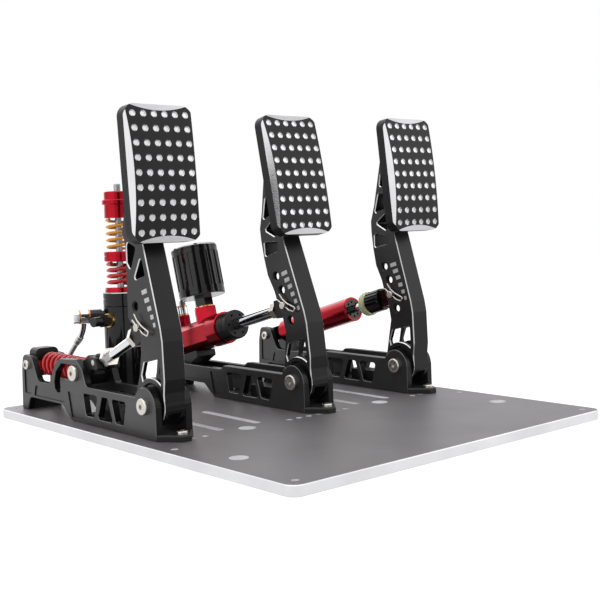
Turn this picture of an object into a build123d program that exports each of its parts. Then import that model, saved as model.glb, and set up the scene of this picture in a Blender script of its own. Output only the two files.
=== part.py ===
from build123d import *
import math
import os

# Sim racing pedal set: three floor pedals on one steel base plate.
# Millimetres, +Z up, -Y towards the driver. The origin is the centre of the
# base plate's underside. Most shapes are drawn in a pedal frame: u runs to the
# rear from the hinge axis, v runs up from the top of the base plate.

os.makedirs("parts", exist_ok=True)

# Base plate
PLATE_WIDTH = 430.0
PLATE_DEPTH = 520.0
PLATE_THICK = 10.0
PLATE_CORNER_R = 12.0
PLATE_EDGE_CHAMFER = 0.8
CORNER_HOLE_INSET = 15.0
CORNER_HOLE_R = 3.5
SIDE_HOLE_INSET = 13.5
SIDE_HOLE_Y = -77.0
BIG_HOLE_R = 9.0
FRONT_BIG_HOLE_X = 182.0
FRONT_BIG_HOLE_Y = -148.5
INNER_BIG_HOLE_X = 95.0
ROW_HOLE_R = 3.3
ROW_PITCH = 13.5
SLOT_WIDTH = 9.0
SLOT_LENGTH = 98.0
SLOT_CENTRE_Y = 9.0
SLOT_X = (71.0, 119.0)
CUT_OVERRUN = 2.0

# Pedal modules
CLUTCH_X = -174.0
BRAKE_X = 15.0
THROTTLE_X = 176.4
HINGE_Y = -18.6
HINGE_HEIGHT = 32.0
MODULE_WIDTH = 43.0
WALL_THICK = 7.5
WALL_LENGTH = 278.0
WALL_HEIGHT = 63.5
WALL_BOSS_R = 18.5
WALL_CORNER_R = 3.0
WALL_OUTLINE_R = 7.0
WALL_CHAMFER = 0.6
WINDOW_CORNER_R = 3.0
POCKET_DEPTH = 1.2
FLOOR_THICK = 6.5
FLOOR_LENGTH = 158.0
TONGUE_LENGTH = 20.6
TONGUE_TIP_WIDTH = 10.0
TONGUE_CHAMFER = 1.5
TONGUE_BOLT_BACK = 8.1
REAR_FOOT_LENGTH = 12.0
REAR_FOOT_HEIGHT = 15.0
REAR_PIVOT_U = 240.6
REAR_PIVOT_HEIGHT = 52.0
BRAKE_REAR_BOLT_HEIGHT = 24.0

# Hinge
AXLE_R = 5.0
BEARING_R = 9.5
BEARING_LENGTH = 6.8
BOLT_HEAD_R = 8.5
BOLT_HEAD_HEIGHT = 4.4
SOCKET_R = 2.9
SOCKET_DEPTH = 2.6
RUNNING_GAP = 0.05
LOOSE_GAP = 0.3
REAR_BOLT_R = 4.0
REAR_BOLT_HEAD_R = 5.4
REAR_BOLT_HEAD_HEIGHT = 4.0
NUT_HEIGHT = 6.0
NUT_R = 7.5

# Arms
ARM_WIDTH = 25.0
ARM_CHEEK = 4.8
ARM_LENGTH = 248.0
ARM_WEB = 5.0
ARM_TOP_WALL = 4.0
ARM_DISC_R = 22.0
ARM_RECESS_DEPTH = 2.0
ARM_CHAMFER = 0.9
ARM_CORNER_R = 6.0
ARM_WINDOW_R = 2.2
LOW_WINDOW_INNER_R = 27.0
ARM_HOLE_R = 4.1
ARM_HOLE_CHAMFER = 1.5
BRAKE_LEAN = 5.0

# Pedal faces
FACE_WIDTH = 77.0
FACE_HEIGHT = 132.0
FACE_CORNER_R = 12.0
FACE_BACK = 14.0
FACE_CROWN_R = 400.0
FACE_CROWN_RISE = 4.0
FACE_BEVEL_BACK = 3.0
SIDE_BEVEL_INSET = 3.5
END_BEVEL_INSET = 6.2
END_BEVEL_RISE = 2.53
END_BEVEL_R = 430.0
BRACKET_THICK = 14.0
BRACKET_WIDTH = 22.0
BRACKET_HEIGHT = 78.0
DOT_COLUMNS = 6
DOT_ROWS = 9
DOT_PITCH_X = 12.0
DOT_PITCH_S = 14.1
DOT_R = 3.4
DOT_SIDE_R = 2.3
DOT_DEPTH = 1.1
DOT_OVER = 0.6
THROTTLE_FACE = (-14.7, 225.05, 6.6)
CLUTCH_FACE = (-16.75, 224.0, 4.3)

# Pins, forks and clips
PIN_R = 4.0
PIN_HEAD_R = 5.6
PIN_HEAD_HEIGHT = 5.0
PIN_TAIL = 7.0
PIN_OPEN_GAP = 1.1
CLIP_WIRE_R = 0.9
CLIP_BOW_R = 4.6
CLIP_LEG = 22.0
CLIP_TURN = 124.0
FORK_HEIGHT = 20.0
FORK_LENGTH = 28.5
FORK_EYE_R = 10.0

# Throttle damper, distances from the arm pin along its axis
KNOB_R = 13.5
KNOB_LENGTH = 22.8
KNOB_FLUTE_R = 1.5
KNOB_FLUTES = 16
BUMP_R = 15.0
BUMP_LENGTH = 9.4
DAMPER_GAP = 23.8
DAMPER_ROD_R = 5.0
DAMPER_TUBE_R = 15.5
DAMPER_TUBE_LENGTH = 135.0
DAMPER_TUBE_WALL = 2.4
DAMPER_CAP_LENGTH = 10.0
DAMPER_CAP_POCKETS = 8
DAMPER_CAP_POCKET_R = 1.5
DAMPER_EYE_WIDTH = 20.0
DAMPER_EYE_R = 9.0
DAMPER_PISTON_LENGTH = 12.0
DAMPER_REACH = 66.0
DAMPER_SPRING_WIRE_R = 1.3

# Brake hydraulics, distances from the arm pin along the cylinder's axis
CYLINDER_SLOPE = 14.7
PUSH_ROD_R = 6.6
JAM_NUT_LENGTH = 7.5
JAM_NUT_R = 9.5
BOOT_START = 108.5
BOOT_R = 17.5
BOOT_LENGTH = 21.0
BOOT_HOLES = 6
BOOT_HOLE_R = 1.4
BOOT_GROOVE = 0.9
COLLAR_R = 19.5
COLLAR_LENGTH = 20.7
BODY_SIZE = 35.0
BODY_CHAMFER = 8.0
BODY_END = 239.0
CYLINDER_BORE_R = 11.0
PISTON_LENGTH = 24.0
PORT_ONE = 166.7
PORT_ONE_R = 14.4
PORT_ONE_HEIGHT = 14.6
WASHER_THICK = 1.4
FITTING_R = 12.2
FITTING_HEIGHT = 12.1
RESERVOIR_R = 28.5
RESERVOIR_LENGTH = 63.0
RESERVOIR_CAP = 10.0
RESERVOIR_RIBS = 12
RESERVOIR_NOTCHES = 6
RESERVOIR_WALL = 2.5
PORT_TWO = 217.0
PORT_TWO_R = 9.8
PORT_TWO_HEIGHT = 14.0
BANJO_R = 8.5
BANJO_THICK = 10.0
BANJO_BOLT_R = 4.0
BANJO_HEAD_R = 7.5
BANJO_HEAD_HEIGHT = 6.0

# Vertical slave cylinder of the brake, heights above the plate
SLAVE_X = -89.0
SLAVE_Y = 190.0
SLAVE_R = 21.2
SLAVE_HEIGHT = 112.7
SLAVE_CAP_HEIGHT = 16.6
SLAVE_FOOT_R = 27.0
SLAVE_FOOT_HEIGHT = 8.0
SEAT_HEIGHT = 5.7
SEAT_R = 18.8
RED_SPRING_LENGTH = 30.2
RED_SPRING_OUTER_R = 16.2
RED_SPRING_WIRE_R = 2.3
RED_SPRING_TURNS = 3.5
MID_COLLAR_HEIGHT = 11.7
MID_COLLAR_R = 18.0
AMBER_SPRING_LENGTH = 38.9
AMBER_SPRING_OUTER_R = 15.3
AMBER_SPRING_WIRE_R = 1.6
AMBER_SPRING_TURNS = 4.5
TOP_CAP_HEIGHT = 31.1
TOP_CAP_R = 16.0
TOP_FLANGE_R = 18.5
TOP_FLANGE_HEIGHT = 6.0
ADJUSTER_R = 4.0
ADJUSTER_HEIGHT = 8.8
SHAFT_R = 7.0
SHAFT_PISTON_R = 15.0
SLAVE_BORE_R = 15.1
SLAVE_BORE_DEPTH = 60.0
STACK_GAP = 0.3
SLAVE_STROKE = 9.0
RED_STROKE = 4.5
GALLERY_R = 1.4
ADAPTER_LEVEL = 102.0
ADAPTER_TURN = 159.0
ADAPTER_NECK_R = 6.3
ADAPTER_START = 24.0
ADAPTER_R = 8.0
ADAPTER_END = 38.0
SWITCH_LEVEL = 97.5
SWITCH_TURN = 197.0
SWITCH_RING_R = 8.0
SWITCH_RING_THICK = 5.0
SWITCH_HEX_R = 7.0
SWITCH_HEX_LENGTH = 12.6
SWITCH_PLUG_R = 5.6
SWITCH_PLUG_LENGTH = 12.5

# Clutch linkage
CLUTCH_ROD_R = 5.6
CLUTCH_NUT_R = 10.5
CLUTCH_NUT_LENGTH = 6.5
CLUTCH_EYE_R = 9.0
CLUTCH_EYE_WIDTH = 13.0
CARRIER_JOINT_U = 108.6
CARRIER_JOINT_HEIGHT = 64.6
CARRIER_PIN_U = 133.6
CARRIER_SEAT_U = 140.0
CARRIER_WIDTH = 27.4
CARRIER_SPIGOT_LENGTH = 6.0
CLUTCH_SPRING_OUTER_R = 13.5
CLUTCH_SPRING_WIRE_R = 2.0
CLUTCH_SPRING_TURNS = 9.5
REAR_SEAT_THICK = 16.0
REAR_SEAT_TOP = 70.0
GUIDE_R = 6.0
GUIDE_LENGTH = 62.0
SLOT_GAP = 0.5

# Position sensors
SENSOR_WIDTH = 20.0
SENSOR_LENGTH = 46.0
SENSOR_HEIGHT = 13.0
SENSOR_U = 66.0

# Hose
HOSE_R = 3.1
HOSE_TILT = 25.0
HOSE_LEAD = 12.0

# Outline tables. The wall tables are shares of the wall's length and height;
# the arm tables are shares of the arm's length, from the hinge axis.
WALL_SHARES = [(-0.0698, 0), (-0.0680, 0.52), (0.0, 0.80), (0.0561, 0.622), (0.4446, 0.622),
               (0.4626, 0.551), (0.7863, 0.551), (0.8367, 0.976), (0.9086, 1.0), (0.9230, 0.709),
               (0.9302, 0), (0.8834, 0), (0.8583, 0.236), (0.5885, 0.236), (0.5165, 0)]
CLUTCH_WALL_SHARES = [(-0.0698, 0), (-0.0680, 0.52), (0.0, 0.80), (0.0561, 0.622), (0.4007, 0.622),
                      (0.4266, 0.898), (0.4698, 1.055), (0.5957, 1.024), (0.6353, 0.945),
                      (0.6763, 0.630), (0.7000, 0.551), (0.7863, 0.551), (0.8367, 0.976),
                      (0.9086, 1.0), (0.9230, 0.709), (0.9302, 0), (0.8834, 0), (0.8583, 0.236),
                      (0.5885, 0.236), (0.5165, 0)]
BRAKE_WALL_SHARES = [(-0.0698, 0), (-0.0680, 0.52), (0.0, 0.80), (0.0561, 0.622), (0.4446, 0.622),
                     (0.4626, 0.551), (0.9230, 0.551), (0.9302, 0), (0.8834, 0), (0.8583, 0.236),
                     (0.5885, 0.236), (0.5165, 0)]
WALL_WINDOW_SHARES = [[(0.1209, 0.504), (0.2216, 0.504), (0.1964, 0.134), (0.1424, 0.126)],
                      [(0.2468, 0.504), (0.2899, 0.504), (0.3223, 0.126), (0.2144, 0.126)],
                      [(0.3187, 0.504), (0.4266, 0.504), (0.4086, 0.142), (0.3475, 0.142)]]
WALL_POCKET_SHARES = [[(0.4338, 0.488), (0.5417, 0.488), (0.5165, 0.063), (0.4158, 0.079)],
                      [(0.5705, 0.472), (0.8079, 0.472), (0.8223, 0.284), (0.5705, 0.284)],
                      [(0.8450, 0.724), (0.9014, 0.724), (0.9014, 0.299), (0.8450, 0.299)]]
J_SLOT_SHARES = [(0.4536, 0.945), (0.5900, 0.945), (0.6353, 0.787), (0.6511, 0.598), (0.6450, 0.425),
                 (0.6050, 0.425), (0.5950, 0.630), (0.5600, 0.693), (0.4536, 0.693)]
THROTTLE_ARM_SHARES = [(-0.0887, -0.028), (-0.0863, 0.0524), (-0.0923, 0.1048), (-0.0863, 0.2540),
                       (-0.0762, 0.3065), (0.0226, 0.6331), (0.0649, 1.0), (0.1040, 1.0),
                       (0.1093, 0.9798), (0.1556, 0.7661), (0.1798, 0.6895), (0.1778, 0.6371),
                       (0.1677, 0.5565), (0.1516, 0.4758), (0.1153, 0.4032), (0.1032, 0.3629),
                       (0.0750, 0.2944), (0.0589, 0.2137), (0.0790, 0.1129), (0.0911, 0.0444),
                       (0.0887, 0.0), (-0.0600, -0.028)]
CLUTCH_ARM_SHARES = [(-0.0887, -0.028), (-0.0863, 0.0524), (-0.0923, 0.1048), (-0.0863, 0.2540),
                     (-0.0762, 0.3065), (0.0240, 0.6331), (0.0530, 1.0), (0.0950, 1.0),
                     (0.1000, 0.9798), (0.1500, 0.7661), (0.1758, 0.6774), (0.1556, 0.6371),
                     (0.1516, 0.5282), (0.1540, 0.4153), (0.1516, 0.3266), (0.0690, 0.2944),
                     (0.0649, 0.2137), (0.0831, 0.1129), (0.1113, 0.0403), (0.0887, 0.0),
                     (-0.0600, -0.028)]
THROTTLE_WINDOW_SHARES = [[(0.0649, 0.6210), (0.1556, 0.6270), (0.1556, 0.5625), (0.0669, 0.5806)],
                          [(0.0690, 0.6411), (0.0750, 0.7298), (0.1435, 0.6794)],
                          [(0.0911, 0.8246), (0.1234, 0.8246), (0.1516, 0.7258), (0.0851, 0.7500)],
                          [(0.0952, 0.8548), (0.1153, 0.8589), (0.1012, 0.9516)]]
CLUTCH_WINDOW_SHARES = [[(0.0427, 0.5847), (0.0185, 0.5081), (0.0992, 0.4879)],
                        [(0.0790, 0.6169), (0.1355, 0.6391), (0.1440, 0.6250), (0.1435, 0.5565),
                         (0.1194, 0.5282)],
                        [(0.0690, 0.6600), (0.0750, 0.7298), (0.1380, 0.6850)],
                        [(0.0850, 0.8246), (0.1130, 0.8246), (0.1450, 0.7258), (0.0790, 0.7500)]]
LOW_WINDOW_SHARES = [(-0.0621, 0.1895), (0.0468, 0.1653), (0.0669, 0.1129), (0.0400, 0.0300),
                     (-0.0550, 0.0300), (-0.0661, 0.1008)]
THROTTLE_HOLE_SHARES = [(0.0931, 0.4690), (0.0629, 0.4052), (0.0185, 0.2694)]
CLUTCH_HOLE_SHARES = [(0.0952, 0.3851)]
THROTTLE_PIN_SHARE = (0.0387, 0.3371)
CLUTCH_PIN_SHARE = (0.0569, 0.3044)
THROTTLE_CHANNEL_SHARE = 0.54
CLUTCH_CHANNEL_SHARE = 0.46

WALL_INNER = MODULE_WIDTH / 2 - WALL_THICK
HINGE_Z = PLATE_THICK + HINGE_HEIGHT


def scaled(shares, long_size, high_size):
    """Outline points in the pedal frame from shares of a length and a height."""
    return [(u * long_size, v * high_size) for u, v in shares]


def rounded(points, radius):
    """A closed face through the points, with every corner rounded. The radius
    is one number, or a list with one for each point."""
    count = len(points)
    radii = radius if isinstance(radius, list) else [radius] * count
    starts = []
    ends = []
    edges = []
    for i in range(count):
        here = Vector(*points[i])
        back = Vector(*points[i - 1]) - here
        ahead = Vector(*points[(i + 1) % count]) - here
        half = math.radians(back.get_angle(ahead)) / 2
        reach = min(radii[i] / math.tan(half), 0.45 * back.length, 0.45 * ahead.length)
        swing = reach * math.tan(half)
        start = here + back.normalized() * reach
        end = here + ahead.normalized() * reach
        middle_way = (back.normalized() + ahead.normalized())
        if middle_way.length > 0.001:
            centre = here + middle_way.normalized() * (reach / math.cos(half))
            top = centre + (here - centre).normalized() * swing
            edges.append(ThreePointArc(start, top, end))
        else:
            edges.append(Line(start, end))
        starts.append(start)
        ends.append(end)
    for i in range(count):
        edges.append(Line(ends[i - 1], starts[i]))
    return make_face(Wire(edges))


def side_slab(face, x_low, x_high):
    """Extrude a (u, v) face along X between two places."""
    plane = Plane(origin=(x_low, 0, 0), x_dir=(0, 1, 0), z_dir=(1, 0, 0))
    return extrude(plane * face, x_high - x_low)


def bar(centre, radius, x_low, x_high):
    """A round bar along X, centred on a (u, v) place."""
    return side_slab(Pos(*centre) * Circle(radius), x_low, x_high)


def hex_bar(centre, radius, x_low, x_high):
    return side_slab(Pos(*centre) * RegularPolygon(radius, 6), x_low, x_high)


def in_module(module_x, shape):
    """Move a shape from the pedal frame to the row's frame."""
    return Pos(module_x, HINGE_Y, PLATE_THICK) * shape


def along(start, slope_deg, shape):
    """Turn a shape drawn up +Z so that it runs rearwards and down from start.
    Its local +X stays X and its local +Y points up and to the rear."""
    slope = math.radians(slope_deg)
    run = Vector(0, math.cos(slope), -math.sin(slope))
    frame = Plane(origin=(0, start[0], start[1]), x_dir=(-1, 0, 0), z_dir=run)
    return frame * shape


def rod(radius, low, high):
    return Pos(0, 0, low) * Cylinder(radius, high - low, align=(Align.CENTER, Align.CENTER, Align.MIN))


def ring(outer, inner, low, high):
    return rod(outer, low, high) - rod(inner, low - CUT_OVERRUN, high + CUT_OVERRUN)


def hex_rod(radius, low, high):
    return Pos(0, 0, low) * extrude(RegularPolygon(radius, 6), high - low)


def save(shape, name):
    shape.label = name
    export_step(shape, "parts/" + name + ".step")


def bolt_along_x(centre, shank_r, head_r, head_height, x_left, x_right, nut_r, nut_height):
    """A cross bolt: button head on the left, hex nut on the right."""
    shank = bar(centre, shank_r, x_left - head_height / 2, x_right + nut_height)
    head = bar(centre, head_r, x_left - head_height, x_left)
    head = fillet(head.edges().group_by(Axis.X)[0], head_height * 0.4)
    socket = hex_bar(centre, min(SOCKET_R, head_r / 2), x_left - head_height - CUT_OVERRUN,
                     x_left - head_height + SOCKET_DEPTH)
    nut = hex_bar(centre, nut_r, x_right, x_right + nut_height)
    nut = nut - bar(centre, shank_r, x_right - CUT_OVERRUN, x_right + nut_height + CUT_OVERRUN)
    return [shank + head - socket, nut]


def biarc_joint(start, start_way, end, end_way):
    """The point where two tangent arcs between two places meet."""
    span = end - start
    ways = start_way + end_way
    square = 2 * (1 - start_way.dot(end_way))
    linear = 2 * span.dot(ways)
    reach = (-linear + math.sqrt(linear ** 2 + 4 * square * span.dot(span))) / (2 * square)
    return (start + end + (start_way - end_way) * reach) * 0.5


def coil_spring(name, outer_r, wire_r, length, turns):
    """A spring standing on z = 0: one round wire along half-turn biarcs, its
    ends straight for one wire diameter."""
    mean_r = outer_r - wire_r
    steps = round(turns * 2)
    tail = 2 * wire_r
    slope = (length - 2 * wire_r) / (steps * math.pi * mean_r + 2 * tail)
    rise = slope * math.pi * mean_r
    low = wire_r + slope * tail

    def place(step):
        angle = math.pi * step
        return Vector(mean_r * math.cos(angle), mean_r * math.sin(angle), low + rise * step)

    def way(step):
        angle = math.pi * step
        return Vector(-math.sin(angle), math.cos(angle), slope).normalized()

    edges = [Edge.make_line(place(0) - way(0) * tail, place(0))]
    for i in range(steps):
        joint = biarc_joint(place(i), way(i), place(i + 1), way(i + 1))
        first = Edge.make_tangent_arc(place(i), way(i), joint)
        edges.append(first)
        edges.append(Edge.make_tangent_arc(joint, first % 1, place(i + 1)))
    edges.append(Edge.make_line(place(steps), place(steps) + way(steps) * tail))
    path = Wire(edges)
    section = Plane(origin=path @ 0, z_dir=path % 0) * Circle(wire_r)
    tube = sweep(section, path=path)
    samples = [place(i / 4) for i in range(4 * steps + 1)]
    gap = min((samples[i + 8] - samples[i]).length for i in range(len(samples) - 8)) - 2 * wire_r
    share = tube.volume / (math.pi * wire_r ** 2 * path.length)
    print(name, "turns", turns, "least gap", round(gap, 2), "volume share", round(share, 4))
    return tube


# Base plate
def base_plate():
    plate = extrude(RectangleRounded(PLATE_WIDTH, PLATE_DEPTH, PLATE_CORNER_R), PLATE_THICK)
    plate = chamfer(plate.edges().filter_by(Plane.XY), PLATE_EDGE_CHAMFER)
    half_x = PLATE_WIDTH / 2
    half_y = PLATE_DEPTH / 2
    holes = []
    for sx in (-1, 1):
        for sy in (-1, 1):
            holes.append((sx * (half_x - CORNER_HOLE_INSET), sy * (half_y - CORNER_HOLE_INSET),
                          CORNER_HOLE_R))
        holes.append((sx * (half_x - SIDE_HOLE_INSET), SIDE_HOLE_Y, CORNER_HOLE_R))
        holes.append((sx * FRONT_BIG_HOLE_X, FRONT_BIG_HOLE_Y, BIG_HOLE_R))
        holes.append((sx * INNER_BIG_HOLE_X, ROW_Y, BIG_HOLE_R))
    for module_x, low, high in ((CLUTCH_X, 0, 2), (BRAKE_X, -4, 2), (THROTTLE_X, -2, 0)):
        for k in range(low, high + 1):
            holes.append((module_x + k * ROW_PITCH, ROW_Y, ROW_HOLE_R))
        holes.append((module_x, REAR_FOOT_Y, ROW_HOLE_R))
    cutters = [Pos(x, y, -CUT_OVERRUN) * rod(r, 0, PLATE_THICK + 2 * CUT_OVERRUN) for x, y, r in holes]
    for x in SLOT_X:
        for sx in (-1, 1):
            slot = SlotOverall(SLOT_LENGTH, SLOT_WIDTH, rotation=90)
            cutters.append(Pos(sx * x, SLOT_CENTRE_Y, -CUT_OVERRUN)
                           * extrude(slot, PLATE_THICK + 2 * CUT_OVERRUN))
    return plate - cutters


NOSE_U = WALL_LENGTH * WALL_SHARES[0][0]
ROW_Y = HINGE_Y + NOSE_U - TONGUE_LENGTH + TONGUE_BOLT_BACK
REAR_FOOT_U = WALL_LENGTH * WALL_SHARES[10][0] - REAR_FOOT_LENGTH / 2
REAR_FOOT_Y = HINGE_Y + REAR_FOOT_U


# Side walls
def side_wall(shares, side, rear_bolt_height, j_slot):
    """One wall, drawn on the +X side of the pedal frame, or mirrored."""
    outer = MODULE_WIDTH / 2
    radii = [WALL_OUTLINE_R if u >= 0 and v > 0 else 2 * WALL_CHAMFER for u, v in shares]
    face = rounded(scaled(shares, WALL_LENGTH, WALL_HEIGHT), radii)
    wall = side_slab(face, WALL_INNER, outer)
    wall = wall + bar((0, HINGE_HEIGHT), WALL_BOSS_R, WALL_INNER, outer)
    cuts = []
    for window in WALL_WINDOW_SHARES:
        window_face = rounded(scaled(window, WALL_LENGTH, WALL_HEIGHT), WINDOW_CORNER_R)
        cuts.append(side_slab(window_face, WALL_INNER - CUT_OVERRUN, outer + CUT_OVERRUN))
    if j_slot:
        slot_face = rounded(scaled(J_SLOT_SHARES, WALL_LENGTH, WALL_HEIGHT), WINDOW_CORNER_R * 2)
        cuts.append(side_slab(slot_face, WALL_INNER - CUT_OVERRUN, outer + CUT_OVERRUN))
    wall = wall - cuts
    rim = wall.faces().sort_by(Axis.X)[-1].edges()
    wall = chamfer(rim, WALL_CHAMFER)
    pockets = []
    for pocket in WALL_POCKET_SHARES:
        pocket_face = rounded(scaled(pocket, WALL_LENGTH, WALL_HEIGHT), WINDOW_CORNER_R / 2)
        pockets.append(side_slab(pocket_face, outer - POCKET_DEPTH, outer + CUT_OVERRUN))
    pockets.append(bar((0, HINGE_HEIGHT), AXLE_R, WALL_INNER - CUT_OVERRUN, outer + CUT_OVERRUN))
    pockets.append(bar((REAR_PIVOT_U, rear_bolt_height), REAR_BOLT_R, WALL_INNER - CUT_OVERRUN,
                       outer + CUT_OVERRUN))
    wall = wall - pockets
    if side < 0:
        wall = mirror(wall, about=Plane.YZ)
    return wall


def module_floor():
    """The bottom plate with its pointed tongue, and the foot at the rear."""
    half = MODULE_WIDTH / 2
    tip = TONGUE_TIP_WIDTH / 2
    nose = [(-half, NOSE_U), (-tip, NOSE_U - TONGUE_LENGTH), (tip, NOSE_U - TONGUE_LENGTH), (half, NOSE_U)]
    outline = Polyline(*nose, (WALL_INNER, NOSE_U), (WALL_INNER, NOSE_U + FLOOR_LENGTH),
                       (-WALL_INNER, NOSE_U + FLOOR_LENGTH), (-WALL_INNER, NOSE_U), close=True)
    floor = extrude(make_face(outline), FLOOR_THICK)
    tongue_top = floor.edges().filter_by(Plane.XY).group_by(Axis.Z)[-1].filter_by_position(
        Axis.Y, NOSE_U - TONGUE_LENGTH - RUNNING_GAP, NOSE_U - RUNNING_GAP)
    floor = chamfer(tongue_top, TONGUE_CHAMFER)
    bolt_y = NOSE_U - TONGUE_LENGTH + TONGUE_BOLT_BACK
    floor = floor - Pos(0, bolt_y, 0) * rod(ROW_HOLE_R, -CUT_OVERRUN, FLOOR_THICK + CUT_OVERRUN)
    return floor


def rear_foot():
    foot = Pos(0, REAR_FOOT_U, REAR_FOOT_HEIGHT / 2) * Box(2 * WALL_INNER, REAR_FOOT_LENGTH, REAR_FOOT_HEIGHT)
    return foot - Pos(0, REAR_FOOT_U, 0) * rod(ROW_HOLE_R, -CUT_OVERRUN, REAR_FOOT_HEIGHT + CUT_OVERRUN)


def plate_bolt(floor_height):
    """A screw from above, through a module's floor or foot into the plate."""
    shank = rod(ROW_HOLE_R, -PLATE_THICK + PLATE_EDGE_CHAMFER, floor_height + RUNNING_GAP)
    head = rod(ROW_HOLE_R * 1.65, floor_height, floor_height + ROW_HOLE_R)
    head = fillet(head.edges().group_by(Axis.Z)[-1], ROW_HOLE_R * 0.4)
    socket = hex_rod(ROW_HOLE_R * 0.75, floor_height + ROW_HOLE_R * 0.5,
                     floor_height + ROW_HOLE_R + CUT_OVERRUN)
    return shank + head - socket


# Arms
def arm_local(shares, length):
    return [(u * length, v * length) for u, v in shares]


def raised(points):
    return [(u, v + HINGE_HEIGHT) for u, v in points]


def pedal_arm(arm_shares, window_shares, hole_shares, pin_share, channel_share):
    """A blade whose lower part is a U section open at the rear, with its hinge
    disc at the bottom."""
    half = ARM_WIDTH / 2
    outline = raised(arm_local(arm_shares, ARM_LENGTH))
    face = rounded(outline, ARM_CORNER_R)
    arm = side_slab(face, -half, half) + bar((0, HINGE_HEIGHT), ARM_DISC_R, -half, half)
    cuts = []
    through = (-half - CUT_OVERRUN, half + CUT_OVERRUN)
    for window in window_shares:
        cuts.append(side_slab(rounded(raised(arm_local(window, ARM_LENGTH)), ARM_WINDOW_R), *through))
    low = rounded(raised(arm_local(LOW_WINDOW_SHARES, ARM_LENGTH)), ARM_WINDOW_R)
    low = low - Pos(0, HINGE_HEIGHT) * Circle(LOW_WINDOW_INNER_R)
    cuts.append(side_slab(low, *through))
    arm = arm - cuts
    left_rim = arm.faces().sort_by(Axis.X)[0].edges()
    right_rim = arm.faces().sort_by(Axis.X)[-1].edges()
    arm = chamfer(left_rim + right_rim, ARM_CHAMFER)
    inner = half - ARM_CHEEK
    below = Rectangle(ARM_LENGTH, ARM_LENGTH, align=(Align.CENTER, Align.MAX))
    channel = Pos(ARM_WEB, -ARM_TOP_WALL) * face & Pos(0, HINGE_HEIGHT + channel_share * ARM_LENGTH) * below
    cuts = [side_slab(channel, -inner, inner)]
    web = Rectangle(ARM_DISC_R, 2 * ARM_DISC_R, align=(Align.MAX, Align.MIN))
    web = Pos(ARM_WEB - ARM_DISC_R, arm_shares[0][1] * ARM_LENGTH) * web
    disc_cut = Circle(ARM_DISC_R + CUT_OVERRUN) - web
    cuts.append(side_slab(Pos(0, HINGE_HEIGHT) * disc_cut, -inner, inner))
    for centre in raised(arm_local(hole_shares + [pin_share], ARM_LENGTH)):
        for side in (-1, 1):
            hole = bar(centre, ARM_HOLE_R, *through)
            rim = Pos(side * half, 0, 0) * side_cone(centre, ARM_HOLE_R, ARM_HOLE_CHAMFER, side)
            cuts += [hole, rim]
    cuts.append(bar((0, HINGE_HEIGHT), BEARING_R + RUNNING_GAP, *through))
    for side in (-1, 1):
        recess = side_cone((0, HINGE_HEIGHT), ARM_DISC_R - ARM_RECESS_DEPTH, ARM_RECESS_DEPTH, side)
        cuts.append(Pos(side * half, 0, 0) * recess)
    return arm - cuts


def side_cone(centre, hole_r, size, side):
    """A countersink cut at x = 0, its wide end just outside on the given side."""
    cone = Cone(hole_r, hole_r + size, size, align=(Align.CENTER, Align.CENTER, Align.MAX))
    turn = Plane(origin=(0, centre[0], centre[1]), x_dir=(0, 1, 0), z_dir=(side, 0, 0))
    return turn * cone


def face_frame(face_place):
    """The plane of a pedal face: X across, Y up the face, Z towards the driver."""
    tilt = math.radians(face_place[2])
    return Plane(origin=(0, face_place[0], face_place[1] + HINGE_HEIGHT), x_dir=(1, 0, 0),
                 z_dir=(0, -math.cos(tilt), math.sin(tilt)))


def pedal_face():
    """The tread plate: crowned front, bevelled edges and rows of grip dimples."""
    blank = Pos(0, 0, -FACE_BACK) * extrude(
        RectangleRounded(FACE_WIDTH, FACE_HEIGHT, FACE_CORNER_R), FACE_BACK + FACE_CROWN_RISE)
    crown = Pos(0, 0, FACE_CROWN_RISE - FACE_CROWN_R) * Rot(0, 90, 0) * Cylinder(FACE_CROWN_R, 2 * FACE_WIDTH)
    plate = blank & crown
    bevels = []
    rise = FACE_CROWN_RISE + FACE_BEVEL_BACK
    lean = math.degrees(math.atan2(SIDE_BEVEL_INSET, rise))
    for side in (-1, 1):
        block = Box(FACE_WIDTH, 2 * FACE_HEIGHT, FACE_WIDTH, align=(Align.MIN, Align.CENTER, Align.CENTER))
        block = Pos(FACE_WIDTH / 2, 0, -FACE_BEVEL_BACK) * Rot(0, -lean, 0) * block
        bevels.append(block if side > 0 else mirror(block, about=Plane.YZ))
    reach = math.hypot(END_BEVEL_INSET, END_BEVEL_RISE)
    out_y = END_BEVEL_RISE / reach
    out_z = END_BEVEL_INSET / reach
    centre = Vector(0, FACE_HEIGHT / 2 + END_BEVEL_R * out_y, -FACE_BEVEL_BACK + END_BEVEL_R * out_z)
    axis = Plane(origin=centre, x_dir=(1, 0, 0), z_dir=(0, -out_z, out_y))
    drum = axis * Cylinder(END_BEVEL_R, FACE_HEIGHT)
    bevels.append(drum)
    bevels.append(mirror(drum, about=Plane.XZ))
    plate = plate - bevels
    dimples = []
    for i in range(DOT_COLUMNS):
        for j in range(DOT_ROWS):
            x = (i - (DOT_COLUMNS - 1) / 2) * DOT_PITCH_X
            s = (j - (DOT_ROWS - 1) / 2) * DOT_PITCH_S
            z = FACE_CROWN_RISE - FACE_CROWN_R + math.sqrt(FACE_CROWN_R ** 2 - s ** 2)
            lean = math.degrees(math.asin(s / FACE_CROWN_R))
            flare = (DOT_R - DOT_SIDE_R) / DOT_DEPTH
            cone = Cone(DOT_SIDE_R, DOT_R + flare * DOT_OVER, DOT_DEPTH + DOT_OVER)
            dimples.append(Pos(x, s, z) * Rot(-lean, 0, 0) * Pos(0, 0, (DOT_OVER - DOT_DEPTH) / 2) * cone)
    return plate - dimples


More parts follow.
